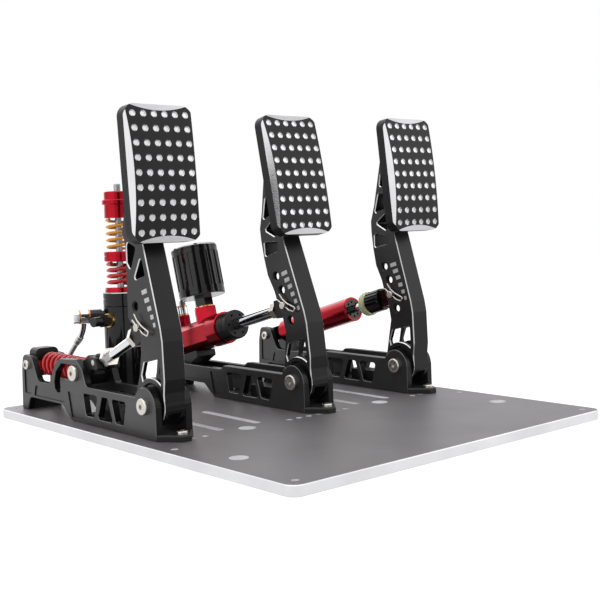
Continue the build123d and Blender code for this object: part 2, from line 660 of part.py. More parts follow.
def face_bracket(frame, arm_shares):
    """The block between the arm's head and the tread plate, seated on both."""
    deep = BRACKET_THICK + ARM_CHAMFER
    block = Pos(0, 0, -FACE_BACK - deep / 2) * Box(BRACKET_WIDTH, BRACKET_HEIGHT, deep)
    block = fillet(block.edges().filter_by(Axis.Z), WALL_CORNER_R)
    hole = Rot(0, 90, 0) * Cylinder(BRACKET_THICK * 0.3, BRACKET_WIDTH + 2 * CUT_OVERRUN)
    holes = [Pos(0, BRACKET_HEIGHT * k, -FACE_BACK - BRACKET_THICK / 2) * hole for k in (-0.3, 0, 0.3)]
    seat = side_slab(rounded(raised(arm_local(arm_shares, ARM_LENGTH)), ARM_CORNER_R), -ARM_WIDTH, ARM_WIDTH)
    return frame * (block - holes) - seat


def arm_pin(pin_share):
    """The fork pin: head on the right, cross hole for its clip on the left."""
    u, v = raised(arm_local([pin_share], ARM_LENGTH))[0]
    half = ARM_WIDTH / 2
    head = bar((u, v), PIN_HEAD_R, half, half + PIN_HEAD_HEIGHT)
    head = chamfer(head.edges().group_by(Axis.X)[-1], PIN_HEAD_HEIGHT * 0.2)
    pin = bar((u, v), PIN_R, -half - PIN_TAIL, half + RUNNING_GAP) + head
    pin = chamfer(pin.edges().group_by(Axis.X)[0], PIN_HEAD_HEIGHT * 0.1)
    clip_x = -half - PIN_TAIL / 2
    return pin - Pos(clip_x, u, v) * Rot(CLIP_TURN, 0, 0) * rod(CLIP_WIRE_R, -CLIP_LEG, CLIP_LEG)


def pin_clip(pin_share):
    """A hairpin clip: one straight leg through the pin, one waved leg over it,
    its bow turned down and to the front."""
    u, v = raised(arm_local([pin_share], ARM_LENGTH))[0]
    clip_x = -ARM_WIDTH / 2 - PIN_TAIL / 2
    back = PIN_R + CLIP_WIRE_R + RUNNING_GAP
    bow = CLIP_BOW_R
    tip = -CLIP_LEG * 0.55
    route = [(0, tip), (0, CLIP_LEG * 0.45), (bow * 0.6, CLIP_LEG * 0.45 + bow * 1.6),
             (back + bow * 0.6, CLIP_LEG * 0.45 + bow * 1.6), (back, CLIP_LEG * 0.2),
             (back, -CLIP_LEG * 0.2), (back + bow * 0.5, tip)]
    turn = math.radians(CLIP_TURN)
    plane = Plane(origin=(clip_x, u, v), x_dir=(0, math.cos(turn), math.sin(turn)), z_dir=(1, 0, 0))
    line = FilletPolyline(*route, radius=CLIP_WIRE_R * 1.6)
    path = plane * line
    return sweep(Plane(origin=path @ 0, z_dir=path % 0) * Circle(CLIP_WIRE_R), path=path)


def fork(width, hole_r):
    """A rod end that sits on the arm's pin; the rod screws into its far end."""
    body = Pos(0, 0, FORK_LENGTH / 2) * Box(width, FORK_HEIGHT, FORK_LENGTH)
    body = chamfer(body.edges().group_by(Axis.Z)[-1], FORK_HEIGHT * 0.1)
    eye = Rot(0, 90, 0) * Cylinder(FORK_EYE_R, width)
    body = body + eye
    return body - Rot(0, 90, 0) * Cylinder(hole_r, width + 2 * CUT_OVERRUN)


def pin_place(pin_share, lean=0.0):
    """An arm pin's place in the pedal frame, with the arm leant to the rear."""
    u, v = arm_local([pin_share], ARM_LENGTH)[0]
    turn = math.radians(lean)
    return (u * math.cos(turn) + v * math.sin(turn), v * math.cos(turn) - u * math.sin(turn) + HINGE_HEIGHT)


def lean_back(shape, degrees):
    """Turn a shape about the hinge axis, its top towards the rear."""
    hinge = Location((0, 0, HINGE_HEIGHT))
    return hinge * Rot(-degrees, 0, 0) * hinge.inverse() * shape


# Throttle damper
THROTTLE_PIN = pin_place(THROTTLE_PIN_SHARE)
REAR_PIVOT = (REAR_PIVOT_U, REAR_PIVOT_HEIGHT)
THROTTLE_SPAN = math.hypot(REAR_PIVOT[0] - THROTTLE_PIN[0], THROTTLE_PIN[1] - REAR_PIVOT[1])
THROTTLE_SLOPE = math.degrees(math.asin((THROTTLE_PIN[1] - REAR_PIVOT[1]) / THROTTLE_SPAN))
FORK_WIDTH = ARM_WIDTH - 2 * ARM_CHEEK - 2 * LOOSE_GAP
KNOB_END = FORK_LENGTH + KNOB_LENGTH
BUMP_END = KNOB_END + BUMP_LENGTH
TUBE_START = BUMP_END + DAMPER_GAP
TUBE_END = TUBE_START + DAMPER_TUBE_LENGTH
TUBE_BORE_R = DAMPER_TUBE_R - DAMPER_TUBE_WALL
PISTON_START = TUBE_START + DAMPER_REACH
PISTON_END = PISTON_START + DAMPER_PISTON_LENGTH
TUBE_FLOOR = TUBE_END - 2 * DAMPER_TUBE_WALL


def damper_knob():
    """A hand knob with flutes along its length."""
    knob = ring(KNOB_R, DAMPER_ROD_R, FORK_LENGTH, KNOB_END)
    knob = chamfer(knob.edges().filter_by(GeomType.CIRCLE).group_by(SortBy.RADIUS)[-1], KNOB_FLUTE_R * 0.6)
    flute = Pos(KNOB_R, 0, 0) * rod(KNOB_FLUTE_R, FORK_LENGTH - CUT_OVERRUN, KNOB_END + CUT_OVERRUN)
    return knob - [Rot(0, 0, 360 * i / KNOB_FLUTES) * flute for i in range(KNOB_FLUTES)]


def bump_ring():
    bump = ring(BUMP_R, DAMPER_ROD_R, KNOB_END, BUMP_END)
    return fillet(bump.edges().filter_by(GeomType.CIRCLE).group_by(SortBy.RADIUS)[-1], BUMP_LENGTH * 0.3)


def damper_rod():
    piston_r = TUBE_BORE_R - LOOSE_GAP
    return rod(DAMPER_ROD_R, FORK_LENGTH, PISTON_START) + rod(piston_r, PISTON_START, PISTON_END)


def damper_tube():
    tube = rod(DAMPER_TUBE_R, TUBE_START, TUBE_END)
    tube = chamfer(tube.edges().filter_by(GeomType.CIRCLE), DAMPER_TUBE_WALL / 4)
    tube = tube - rod(TUBE_BORE_R, TUBE_START - CUT_OVERRUN, TUBE_FLOOR)
    neck = THROTTLE_SPAN - TUBE_END
    eye_block = Pos(0, 0, TUBE_END + neck / 2) * Box(DAMPER_EYE_WIDTH, 2 * DAMPER_EYE_R, neck)
    eye = Pos(0, 0, THROTTLE_SPAN) * Rot(0, 90, 0) * Cylinder(DAMPER_EYE_R, DAMPER_EYE_WIDTH)
    hole = Pos(0, 0, THROTTLE_SPAN) * Rot(0, 90, 0) * Cylinder(
        REAR_BOLT_R + RUNNING_GAP, DAMPER_EYE_WIDTH + 2 * CUT_OVERRUN)
    return tube + eye_block + eye - hole


def damper_tube_cap():
    low = TUBE_START + DAMPER_TUBE_WALL / 4
    cap = ring(TUBE_BORE_R, DAMPER_ROD_R + LOOSE_GAP, low, low + DAMPER_CAP_LENGTH)
    place_r = (TUBE_BORE_R + DAMPER_ROD_R) / 2
    for i in range(DAMPER_CAP_POCKETS):
        angle = 2 * math.pi * i / DAMPER_CAP_POCKETS
        pocket = rod(DAMPER_CAP_POCKET_R, low - CUT_OVERRUN, low + DAMPER_CAP_POCKET_R)
        cap = cap - Pos(place_r * math.cos(angle), place_r * math.sin(angle), 0) * pocket
    return cap


def damper_spring():
    length = TUBE_FLOOR - PISTON_END - 2 * RUNNING_GAP
    spring = coil_spring("damper_spring", TUBE_BORE_R - LOOSE_GAP, DAMPER_SPRING_WIRE_R, length, 8)
    return Pos(0, 0, PISTON_END + RUNNING_GAP) * spring


# Brake hydraulics
BRAKE_PIN = pin_place(THROTTLE_PIN_SHARE, BRAKE_LEAN)
BOOT_END = BOOT_START + BOOT_LENGTH
COLLAR_END = BOOT_END + COLLAR_LENGTH
BODY_TOP = BODY_SIZE / 2


def jam_nut():
    return hex_rod(JAM_NUT_R, FORK_LENGTH, FORK_LENGTH + JAM_NUT_LENGTH) - rod(
        PUSH_ROD_R, FORK_LENGTH - CUT_OVERRUN, FORK_LENGTH + JAM_NUT_LENGTH + CUT_OVERRUN)


def push_rod():
    return rod(PUSH_ROD_R, FORK_LENGTH, COLLAR_END)


def cylinder_boot():
    boot = ring(BOOT_R, PUSH_ROD_R + LOOSE_GAP, BOOT_START, BOOT_END)
    rim = boot.edges().filter_by(GeomType.CIRCLE).group_by(SortBy.RADIUS)[-1].sort_by(Axis.Z)[0]
    boot = fillet(rim, BOOT_GROOVE * 2)
    place_r = (BOOT_R + PUSH_ROD_R) / 2
    for i in range(BOOT_HOLES):
        angle = 2 * math.pi * i / BOOT_HOLES
        hole = rod(BOOT_HOLE_R, BOOT_START - CUT_OVERRUN, BOOT_START + 2 * BOOT_HOLE_R)
        boot = boot - Pos(place_r * math.cos(angle), place_r * math.sin(angle), 0) * hole
    for k in (0.35, 0.5, 0.65):
        low = BOOT_START + BOOT_LENGTH * k
        boot = boot - ring(BOOT_R + CUT_OVERRUN, BOOT_R - BOOT_GROOVE, low, low + BOOT_GROOVE)
    return boot


def upward(distance, shape):
    """Stand a shape drawn up +Z on the cylinder's axis, square to it."""
    return Pos(0, 0, distance) * Rot(-90, 0, 0) * shape


def master_cylinder():
    collar = rod(COLLAR_R, BOOT_END, COLLAR_END)
    collar = chamfer(collar.edges().filter_by(GeomType.CIRCLE).sort_by(Axis.Z)[0], BOOT_GROOVE)
    body = Pos(0, 0, COLLAR_END) * extrude(Rectangle(BODY_SIZE, BODY_SIZE), BODY_END - COLLAR_END)
    body = chamfer(body.edges().filter_by(Axis.Z), BODY_CHAMFER)
    boss_one = upward(PORT_ONE, hex_rod(PORT_ONE_R, BODY_TOP / 2, BODY_TOP + PORT_ONE_HEIGHT))
    boss_two = upward(PORT_TWO, hex_rod(PORT_TWO_R, BODY_TOP / 2, BODY_TOP + PORT_TWO_HEIGHT))
    whole = collar + body + boss_one + boss_two
    bore = rod(CYLINDER_BORE_R, BOOT_END - CUT_OVERRUN, BODY_END - COLLAR_LENGTH)
    port_one = upward(PORT_ONE, rod(BANJO_BOLT_R, 0, BODY_TOP + PORT_ONE_HEIGHT + CUT_OVERRUN))
    port_two = upward(PORT_TWO - BANJO_BOLT_R, rod(BANJO_BOLT_R / 2, 0, BODY_TOP))
    return whole - bore - port_one - port_two


def brake_piston():
    return rod(CYLINDER_BORE_R - LOOSE_GAP, COLLAR_END, COLLAR_END + PISTON_LENGTH)


def cylinder_bracket():
    """The cradle between the brake's walls that carries the master cylinder."""
    slope = math.radians(CYLINDER_SLOPE)

    def under(distance, depth):
        u = BRAKE_PIN[0] + distance * math.cos(slope) - depth * math.sin(slope)
        v = BRAKE_PIN[1] - distance * math.sin(slope) - depth * math.cos(slope)
        return (u, v)

    low = REAR_FOOT_HEIGHT + RUNNING_GAP
    start = PORT_ONE + PORT_ONE_R
    rear = under(BODY_END, BODY_TOP)
    middle = under((start + BODY_END) / 2, BODY_TOP + BODY_CHAMFER * 2)
    points = [under(start, BODY_TOP), rear, (rear[0], low), (middle[0], low), middle,
              under(start, BODY_TOP + BODY_CHAMFER)]
    slab = side_slab(rounded(points, WALL_CORNER_R / 2), -WALL_INNER, WALL_INNER)
    return slab - bar((REAR_PIVOT_U, BRAKE_REAR_BOLT_HEIGHT), REAR_BOLT_R, -MODULE_WIDTH, MODULE_WIDTH)


WASHER_ONE = BODY_TOP + PORT_ONE_HEIGHT
FITTING_BASE = WASHER_ONE + WASHER_THICK
RESERVOIR_BASE = FITTING_BASE + FITTING_HEIGHT
WASHER_TWO = BODY_TOP + PORT_TWO_HEIGHT
BANJO_BASE = WASHER_TWO + WASHER_THICK


def reservoir_fitting():
    fitting = hex_rod(FITTING_R, FITTING_BASE, RESERVOIR_BASE)
    bore = rod(BANJO_BOLT_R, FITTING_BASE - CUT_OVERRUN, RESERVOIR_BASE + CUT_OVERRUN)
    return upward(PORT_ONE, fitting - bore)


def reservoir():
    low = RESERVOIR_BASE + RESERVOIR_CAP
    high = RESERVOIR_BASE + RESERVOIR_LENGTH - RESERVOIR_CAP
    wall_r = RESERVOIR_R - RESERVOIR_WALL / 2
    body = rod(wall_r, low, high)
    for i in range(RESERVOIR_RIBS):
        rib = Pos(wall_r, 0, (low + high) / 2) * Box(RESERVOIR_WALL, RESERVOIR_WALL * 2, high - low)
        body = body + Rot(0, 0, 360 * i / RESERVOIR_RIBS) * rib
    body = body & rod(RESERVOIR_R, low, high)
    return upward(PORT_ONE, body - rod(wall_r - RESERVOIR_WALL, low - CUT_OVERRUN, high + CUT_OVERRUN))


def reservoir_caps():
    low = RESERVOIR_BASE
    high = RESERVOIR_BASE + RESERVOIR_LENGTH
    wall_r = RESERVOIR_R - RESERVOIR_WALL / 2
    groove = ring(RESERVOIR_R + CUT_OVERRUN, RESERVOIR_R - BOOT_GROOVE, 0, BOOT_GROOVE)
    bottom = rod(RESERVOIR_R, low, low + RESERVOIR_CAP)
    bottom = fillet(bottom.edges().filter_by(GeomType.CIRCLE).sort_by(Axis.Z)[0], RESERVOIR_WALL / 2)
    bottom = bottom - Pos(0, 0, low + RESERVOIR_CAP / 2) * groove
    bottom = bottom - rod(BANJO_BOLT_R, low - CUT_OVERRUN, low + RESERVOIR_CAP + CUT_OVERRUN)
    top = rod(RESERVOIR_R, high - RESERVOIR_CAP, high)
    top = fillet(top.edges().filter_by(GeomType.CIRCLE).sort_by(Axis.Z)[-1], RESERVOIR_WALL)
    top = top - Pos(0, 0, high - RESERVOIR_CAP / 2) * groove
    top = top - ring(wall_r - RESERVOIR_WALL, wall_r - 2 * RESERVOIR_WALL, high - RESERVOIR_WALL / 2,
                     high + CUT_OVERRUN)
    notch = Pos(RESERVOIR_R, 0, high) * Box(2 * RESERVOIR_WALL, RESERVOIR_WALL * 1.5, RESERVOIR_WALL * 1.5)
    top = top - [Rot(0, 0, 360 * i / RESERVOIR_NOTCHES) * notch for i in range(RESERVOIR_NOTCHES)]
    return [upward(PORT_ONE, bottom), upward(PORT_ONE, top)]


def disc(outer, inner, low):
    return ring(outer, inner, low, low + WASHER_THICK)


# Slave cylinder
CAP_TOP = SLAVE_HEIGHT + SLAVE_CAP_HEIGHT
SEAT_TOP = CAP_TOP + SEAT_HEIGHT
RED_TOP = SEAT_TOP + RED_SPRING_LENGTH
COLLAR_TOP = RED_TOP + MID_COLLAR_HEIGHT
AMBER_TOP = COLLAR_TOP + AMBER_SPRING_LENGTH
STACK_TOP = AMBER_TOP + TOP_CAP_HEIGHT
SHAFT_BORE_R = ADJUSTER_R + LOOSE_GAP
BORE_FLOOR = SLAVE_HEIGHT - SLAVE_BORE_DEPTH
PORT_FLOOR = SLAVE_BORE_R + GALLERY_R
PORTS = ((ADAPTER_LEVEL, ADAPTER_TURN, ADAPTER_NECK_R), (SWITCH_LEVEL, SWITCH_TURN, SWITCH_RING_R))


def seat_distance(seat_r):
    """How far from the cylinder's axis a flat of this radius is cut."""
    return math.sqrt(SLAVE_R ** 2 - seat_r ** 2) - RUNNING_GAP


SWITCH_RING_END = seat_distance(SWITCH_RING_R) + SWITCH_RING_THICK
SIDE_BANJO = ADAPTER_END + WASHER_THICK
SIDE_BANJO_END = SIDE_BANJO + BANJO_THICK
SIDE_WASHER_END = SIDE_BANJO_END + WASHER_THICK


def laid(level, turn, shape):
    """Lay a shape drawn up +Z outwards from the cylinder's axis."""
    return Pos(0, 0, level) * Rot(0, 0, turn) * Rot(0, 90, 0) * shape


def slave_cylinder():
    body = rod(SLAVE_R, 0, SLAVE_HEIGHT) + rod(SLAVE_FOOT_R, 0, SLAVE_FOOT_HEIGHT)
    groove = ring(SLAVE_R + CUT_OVERRUN, SLAVE_R - BOOT_GROOVE, SLAVE_HEIGHT - SEAT_HEIGHT,
                  SLAVE_HEIGHT - SEAT_HEIGHT + BOOT_GROOVE)
    cuts = [groove, rod(SLAVE_BORE_R, BORE_FLOOR, SLAVE_HEIGHT + CUT_OVERRUN),
            rod(ADJUSTER_R, BORE_FLOOR - SEAT_HEIGHT, SLAVE_HEIGHT)]
    gallery_at = (SLAVE_BORE_R + SLAVE_R) / 2
    for level, turn, seat_r in PORTS:
        spot = rod(seat_r, seat_distance(seat_r), SLAVE_R + CUT_OVERRUN)
        port = rod(BANJO_BOLT_R, PORT_FLOOR, SLAVE_R + CUT_OVERRUN)
        cuts.append(laid(level, turn, spot + port))
        cuts.append(Rot(0, 0, turn) * Pos(gallery_at, 0, 0) * rod(GALLERY_R, BORE_FLOOR, level))
        cross = rod(GALLERY_R, SLAVE_BORE_R - CUT_OVERRUN, gallery_at)
        cuts.append(laid(BORE_FLOOR + GALLERY_R, turn, cross))
    return body - cuts


def slave_cap():
    cap = ring(SLAVE_R, SHAFT_R + LOOSE_GAP, SLAVE_HEIGHT, CAP_TOP)
    rims = cap.edges().filter_by(GeomType.CIRCLE).group_by(SortBy.RADIUS)[-1]
    cap = chamfer(rims, BOOT_GROOVE)
    middle = (SLAVE_HEIGHT + CAP_TOP) / 2
    return cap - ring(SLAVE_R + CUT_OVERRUN, SLAVE_R - BOOT_GROOVE, middle, middle + BOOT_GROOVE)


def slave_piston():
    """The hollow shaft with its piston below and the red spring seat on top."""
    shaft = rod(SHAFT_R, BORE_FLOOR + STACK_GAP, SEAT_TOP)
    piston = rod(SHAFT_PISTON_R - LOOSE_GAP, BORE_FLOOR + STACK_GAP, BORE_FLOOR + SHAFT_PISTON_R)
    shaft = shaft + chamfer(piston.edges().filter_by(GeomType.CIRCLE).sort_by(Axis.Z)[0], 2 * GALLERY_R)
    seat = Cone(SEAT_R, SEAT_R - STACK_GAP * 4, SEAT_HEIGHT - STACK_GAP,
                align=(Align.CENTER, Align.CENTER, Align.MIN))
    seat = Pos(0, 0, CAP_TOP + STACK_GAP) * seat
    return shaft + seat - rod(SHAFT_BORE_R, 0, SEAT_TOP + CUT_OVERRUN)


def mid_collar():
    collar = ring(MID_COLLAR_R, SHAFT_BORE_R, RED_TOP, COLLAR_TOP)
    rims = collar.edges().filter_by(GeomType.CIRCLE).group_by(SortBy.RADIUS)[-1]
    collar = chamfer(rims, BOOT_GROOVE)
    middle = (RED_TOP + COLLAR_TOP) / 2
    return collar - ring(MID_COLLAR_R + CUT_OVERRUN, MID_COLLAR_R - BOOT_GROOVE, middle, middle + BOOT_GROOVE)


def top_cap():
    cap = rod(TOP_CAP_R, AMBER_TOP, STACK_TOP)
    cap = fillet(cap.edges().filter_by(GeomType.CIRCLE).sort_by(Axis.Z)[-1], BOOT_GROOVE * 2)
    middle = (AMBER_TOP + STACK_TOP) / 2
    flange = rod(TOP_FLANGE_R, middle, middle + TOP_FLANGE_HEIGHT)
    flange = chamfer(flange.edges().filter_by(GeomType.CIRCLE), BOOT_GROOVE)
    return cap + flange - rod(ADJUSTER_R, AMBER_TOP - CUT_OVERRUN, STACK_TOP + CUT_OVERRUN)


def tie_rod():
    high = STACK_TOP + ADJUSTER_HEIGHT
    whole = rod(ADJUSTER_R, BORE_FLOOR - SEAT_HEIGHT, high)
    whole = chamfer(whole.edges().filter_by(GeomType.CIRCLE).sort_by(Axis.Z)[-1], ADJUSTER_R * 0.2)
    return whole - hex_rod(ADJUSTER_R / 2, STACK_TOP + ADJUSTER_HEIGHT / 2, high + CUT_OVERRUN)


def in_slave(shape):
    return Pos(SLAVE_X, SLAVE_Y, PLATE_THICK) * shape


def hose_adapter():
    """The hose's adapter, screwed into the cylinder's wall."""
    body = rod(ADAPTER_NECK_R, seat_distance(ADAPTER_NECK_R), ADAPTER_END)
    body = body + rod(ADAPTER_R, ADAPTER_START, ADAPTER_END) + rod(BANJO_BOLT_R, PORT_FLOOR, ADAPTER_END)
    end = body.edges().filter_by(GeomType.CIRCLE).sort_by(Axis.Z)[-1]
    return laid(ADAPTER_LEVEL, ADAPTER_TURN, chamfer(end, WASHER_THICK / 2))


def pressure_switch():
    """The pressure sensor next to it: a hex body and its cable plug."""
    hex_end = SWITCH_RING_END + SWITCH_HEX_LENGTH
    body = rod(BANJO_BOLT_R, PORT_FLOOR, hex_end) + hex_rod(SWITCH_HEX_R, SWITCH_RING_END, hex_end)
    body = body + rod(SWITCH_PLUG_R, hex_end, hex_end + SWITCH_PLUG_LENGTH)
    end = body.edges().filter_by(GeomType.CIRCLE).sort_by(Axis.Z)[-1]
    return laid(SWITCH_LEVEL, SWITCH_TURN, chamfer(end, WASHER_THICK / 2))


def banjo(low):
    body = ring(BANJO_R, BANJO_BOLT_R, low, low + BANJO_THICK)
    return chamfer(body.edges().filter_by(GeomType.CIRCLE).group_by(SortBy.RADIUS)[-1], WASHER_THICK / 2)


def banjo_bolt(low, head_low):
    return rod(BANJO_BOLT_R, low, head_low + BANJO_HEAD_HEIGHT / 2) + hex_rod(
        BANJO_HEAD_R, head_low, head_low + BANJO_HEAD_HEIGHT)


# Clutch linkage
CLUTCH_PIN = pin_place(CLUTCH_PIN_SHARE)
CARRIER_JOINT = (CARRIER_JOINT_U, CARRIER_JOINT_HEIGHT)
CARRIER_PIN = (CARRIER_PIN_U, REAR_PIVOT_HEIGHT)
CLUTCH_SPAN = math.hypot(CARRIER_JOINT[0] - CLUTCH_PIN[0], CLUTCH_PIN[1] - CARRIER_JOINT[1])
CLUTCH_SLOPE = math.degrees(math.asin((CLUTCH_PIN[1] - CARRIER_JOINT[1]) / CLUTCH_SPAN))
EYE_START = CLUTCH_SPAN - CLUTCH_EYE_R
CARRIER_PIN_R = PIN_R * 0.75
REAR_SEAT_U = REAR_PIVOT_U - REAR_SEAT_THICK * 0.375


def clutch_rod():
    return rod(CLUTCH_ROD_R, FORK_LENGTH, EYE_START)


def clutch_nuts():
    nuts = []
    for low in (FORK_LENGTH, EYE_START - CLUTCH_NUT_LENGTH):
        nut = hex_rod(CLUTCH_NUT_R, low, low + CLUTCH_NUT_LENGTH)
        nuts.append(nut - rod(CLUTCH_ROD_R, low - CUT_OVERRUN, low + CLUTCH_NUT_LENGTH + CUT_OVERRUN))
    return nuts


def clutch_rod_end():
    neck = Pos(0, 0, EYE_START) * extrude(RegularPolygon(CLUTCH_EYE_R, 8), CLUTCH_EYE_R)
    slab = Box(CLUTCH_EYE_WIDTH, 2 * CLUTCH_EYE_R, CLUTCH_EYE_R)
    neck = neck & Pos(0, 0, EYE_START + CLUTCH_EYE_R / 2) * slab
    eye = Pos(0, 0, CLUTCH_SPAN) * Rot(0, 90, 0) * Cylinder(CLUTCH_EYE_R, CLUTCH_EYE_WIDTH)
    web = Pos(0, 0, CLUTCH_SPAN - CLUTCH_EYE_R / 2) * Box(CLUTCH_EYE_WIDTH, CLUTCH_EYE_R, CLUTCH_EYE_R)
    hole = Pos(0, 0, CLUTCH_SPAN) * Rot(0, 90, 0) * Cylinder(
        CARRIER_PIN_R + PIN_OPEN_GAP, CLUTCH_EYE_WIDTH + 2 * CUT_OVERRUN)
    return neck + eye + web - hole


def clutch_carrier():
    """The sliding block that takes the rod's push and seats the spring."""
    half = CARRIER_WIDTH / 2
    joint_u, joint_v = CARRIER_JOINT
    spring_r = CLUTCH_SPRING_OUTER_R
    pin_v = REAR_PIVOT_HEIGHT
    reach = CLUTCH_EYE_R
    points = [(joint_u - reach, joint_v - reach * 0.8), (joint_u - reach, joint_v - reach * 0.35),
              (joint_u - reach * 0.45, joint_v + reach * 0.62), (joint_u + reach, joint_v + reach * 0.62),
              (CARRIER_PIN_U - spring_r / 2, pin_v + spring_r),
              (CARRIER_SEAT_U, pin_v + spring_r), (CARRIER_SEAT_U, pin_v - spring_r),
              (CARRIER_PIN_U - spring_r / 2, pin_v - spring_r),
              (joint_u + reach * 0.6, joint_v - reach * 0.8)]
    block = side_slab(rounded(points, WALL_CORNER_R), -half, half)
    slot_half = CLUTCH_EYE_WIDTH / 2 + LOOSE_GAP
    slot_end = joint_u + reach + LOOSE_GAP * 4
    slot = Box(2 * slot_half, MODULE_WIDTH, MODULE_WIDTH)
    block = block - Pos(0, slot_end - MODULE_WIDTH / 2, joint_v) * slot
    block = block - bar(CARRIER_JOINT, CARRIER_PIN_R, -MODULE_WIDTH, MODULE_WIDTH)
    block = block - bar(CARRIER_PIN, PIN_R, -MODULE_WIDTH, MODULE_WIDTH)
    spigot_r = spring_r - 2 * CLUTCH_SPRING_WIRE_R - LOOSE_GAP
    axis = Plane(origin=(0, CARRIER_SEAT_U, pin_v), x_dir=(1, 0, 0), z_dir=(0, 1, 0))
    return block + axis * rod(spigot_r, 0, CARRIER_SPIGOT_LENGTH)


def carrier_pins():
    half = CARRIER_WIDTH / 2
    outer = MODULE_WIDTH / 2 + LOOSE_GAP
    joint_pin = bar(CARRIER_JOINT, CARRIER_PIN_R, -half, half)
    slot_r = WALL_HEIGHT * (J_SLOT_SHARES[0][1] - J_SLOT_SHARES[-1][1]) / 2 - SLOT_GAP
    cross = bar(CARRIER_PIN, PIN_R, -outer, outer)
    for side in (-1, 1):
        low, high = sorted((side * half, side * outer))
        cross = cross + bar(CARRIER_PIN, slot_r, low, high)
        low, high = sorted((side * outer, side * (outer + BOLT_HEAD_HEIGHT)))
        head = bar(CARRIER_PIN, BOLT_HEAD_R, low, high)
        outer_rim = head.edges().group_by(Axis.X)[-1 if side > 0 else 0]
        cross = cross + fillet(outer_rim, BOLT_HEAD_HEIGHT * 0.4)
    socket = hex_bar(CARRIER_PIN, SOCKET_R, -outer - BOLT_HEAD_HEIGHT - CUT_OVERRUN,
                     -outer - BOLT_HEAD_HEIGHT + SOCKET_DEPTH)
    return [joint_pin, cross - socket]


def clutch_spring():
    length = REAR_SEAT_U - CARRIER_SEAT_U - 2 * RUNNING_GAP
    spring = coil_spring("clutch_spring", CLUTCH_SPRING_OUTER_R, CLUTCH_SPRING_WIRE_R, length,
                         CLUTCH_SPRING_TURNS)
    foot = (0, CARRIER_SEAT_U + RUNNING_GAP, REAR_PIVOT_HEIGHT)
    axis = Plane(origin=foot, x_dir=(1, 0, 0), z_dir=(0, 1, 0))
    return axis * spring


def clutch_rear_seat():
    high = REAR_SEAT_TOP
    low = REAR_PIVOT_HEIGHT - CLUTCH_SPRING_OUTER_R
    centre = (0, REAR_SEAT_U + REAR_SEAT_THICK / 2, (low + high) / 2)
    block = Pos(*centre) * Box(2 * WALL_INNER, REAR_SEAT_THICK, high - low)
    block = fillet(block.edges().filter_by(Axis.Y).group_by(Axis.Z)[-1], WALL_CORNER_R * 2)
    axis = Plane(origin=(0, REAR_SEAT_U, REAR_PIVOT_HEIGHT), x_dir=(1, 0, 0), z_dir=(0, -1, 0))
    block = block + axis * rod(GUIDE_R, 0, GUIDE_LENGTH)
    return block - bar((REAR_PIVOT_U, REAR_PIVOT_HEIGHT), REAR_BOLT_R, -MODULE_WIDTH, MODULE_WIDTH)


def position_sensor():
    body = Pos(0, SENSOR_U, FLOOR_THICK + SENSOR_HEIGHT / 2) * Box(SENSOR_WIDTH, SENSOR_LENGTH, SENSOR_HEIGHT)
    return fillet(body.edges().filter_by(Axis.Z), WALL_CORNER_R)


def hinge_bearings():
    rings = []
    for side in (-1, 1):
        low, high = sorted((side * (WALL_INNER - BEARING_LENGTH), side * WALL_INNER))
        rings.append(bar((0, HINGE_HEIGHT), BEARING_R, low, high) - bar(
            (0, HINGE_HEIGHT), AXLE_R, low - CUT_OVERRUN, high + CUT_OVERRUN))
    return rings


# Hose of the brake line, its points chosen by hand in the row's frame
def hose_exit(reach):
    """A place on the line in which the hose leaves the slave cylinder's banjo."""
    turn = math.radians(ADAPTER_TURN)
    tilt = math.radians(HOSE_TILT)
    out = SIDE_BANJO + BANJO_THICK / 2
    across = reach * math.sin(tilt)
    return (SLAVE_X + out * math.cos(turn) + across * math.sin(turn),
            SLAVE_Y + out * math.sin(turn) - across * math.cos(turn),
            PLATE_THICK + ADAPTER_LEVEL - reach * math.cos(tilt))


def brake_hose(port_place):
    end_x = BRAKE_X - BANJO_R
    points = [hose_exit(BANJO_R), hose_exit(BANJO_R + HOSE_LEAD), (-129.5, 229.5, 78.0),
              (-134.5, 240.0, 62.0), (-132.0, 248.5, 40.0), (-118.0, 250.0, 22.0), (-90.0, 248.0, 15.0),
              (-62.0, 243.0, 17.0), (-46.0, 238.0, 38.0), (-42.0, 231.0, 66.0),
              (-34.0, port_place[0] + 3.0, 93.0), (end_x - 17.0, port_place[0], port_place[1]),
              (end_x, port_place[0], port_place[1])]
    vectors = [Vector(*p) for p in points]
    radii = []
    for i in range(1, len(vectors) - 1):
        before = vectors[i] - vectors[i - 1]
        after = vectors[i + 1] - vectors[i]
        turn = math.radians(before.get_angle(after))
        radii.append(0.45 * min(before.length, after.length) / math.tan(turn / 2))
    print("hose points", [tuple(round(c, 1) for c in p) for p in points])
    print("hose radii", [round(r, 1) for r in radii])
    path = FilletPolyline(*points, radius=radii)
    tube = sweep(Plane(origin=path @ 0, z_dir=path % 0) * Circle(HOSE_R), path=path)
    share = tube.volume / (math.pi * HOSE_R ** 2 * path.length)
    print("hose length", round(path.length, 1), "volume share", round(share, 4))
    return tube


def group(solids):
    return Compound(children=list(solids))


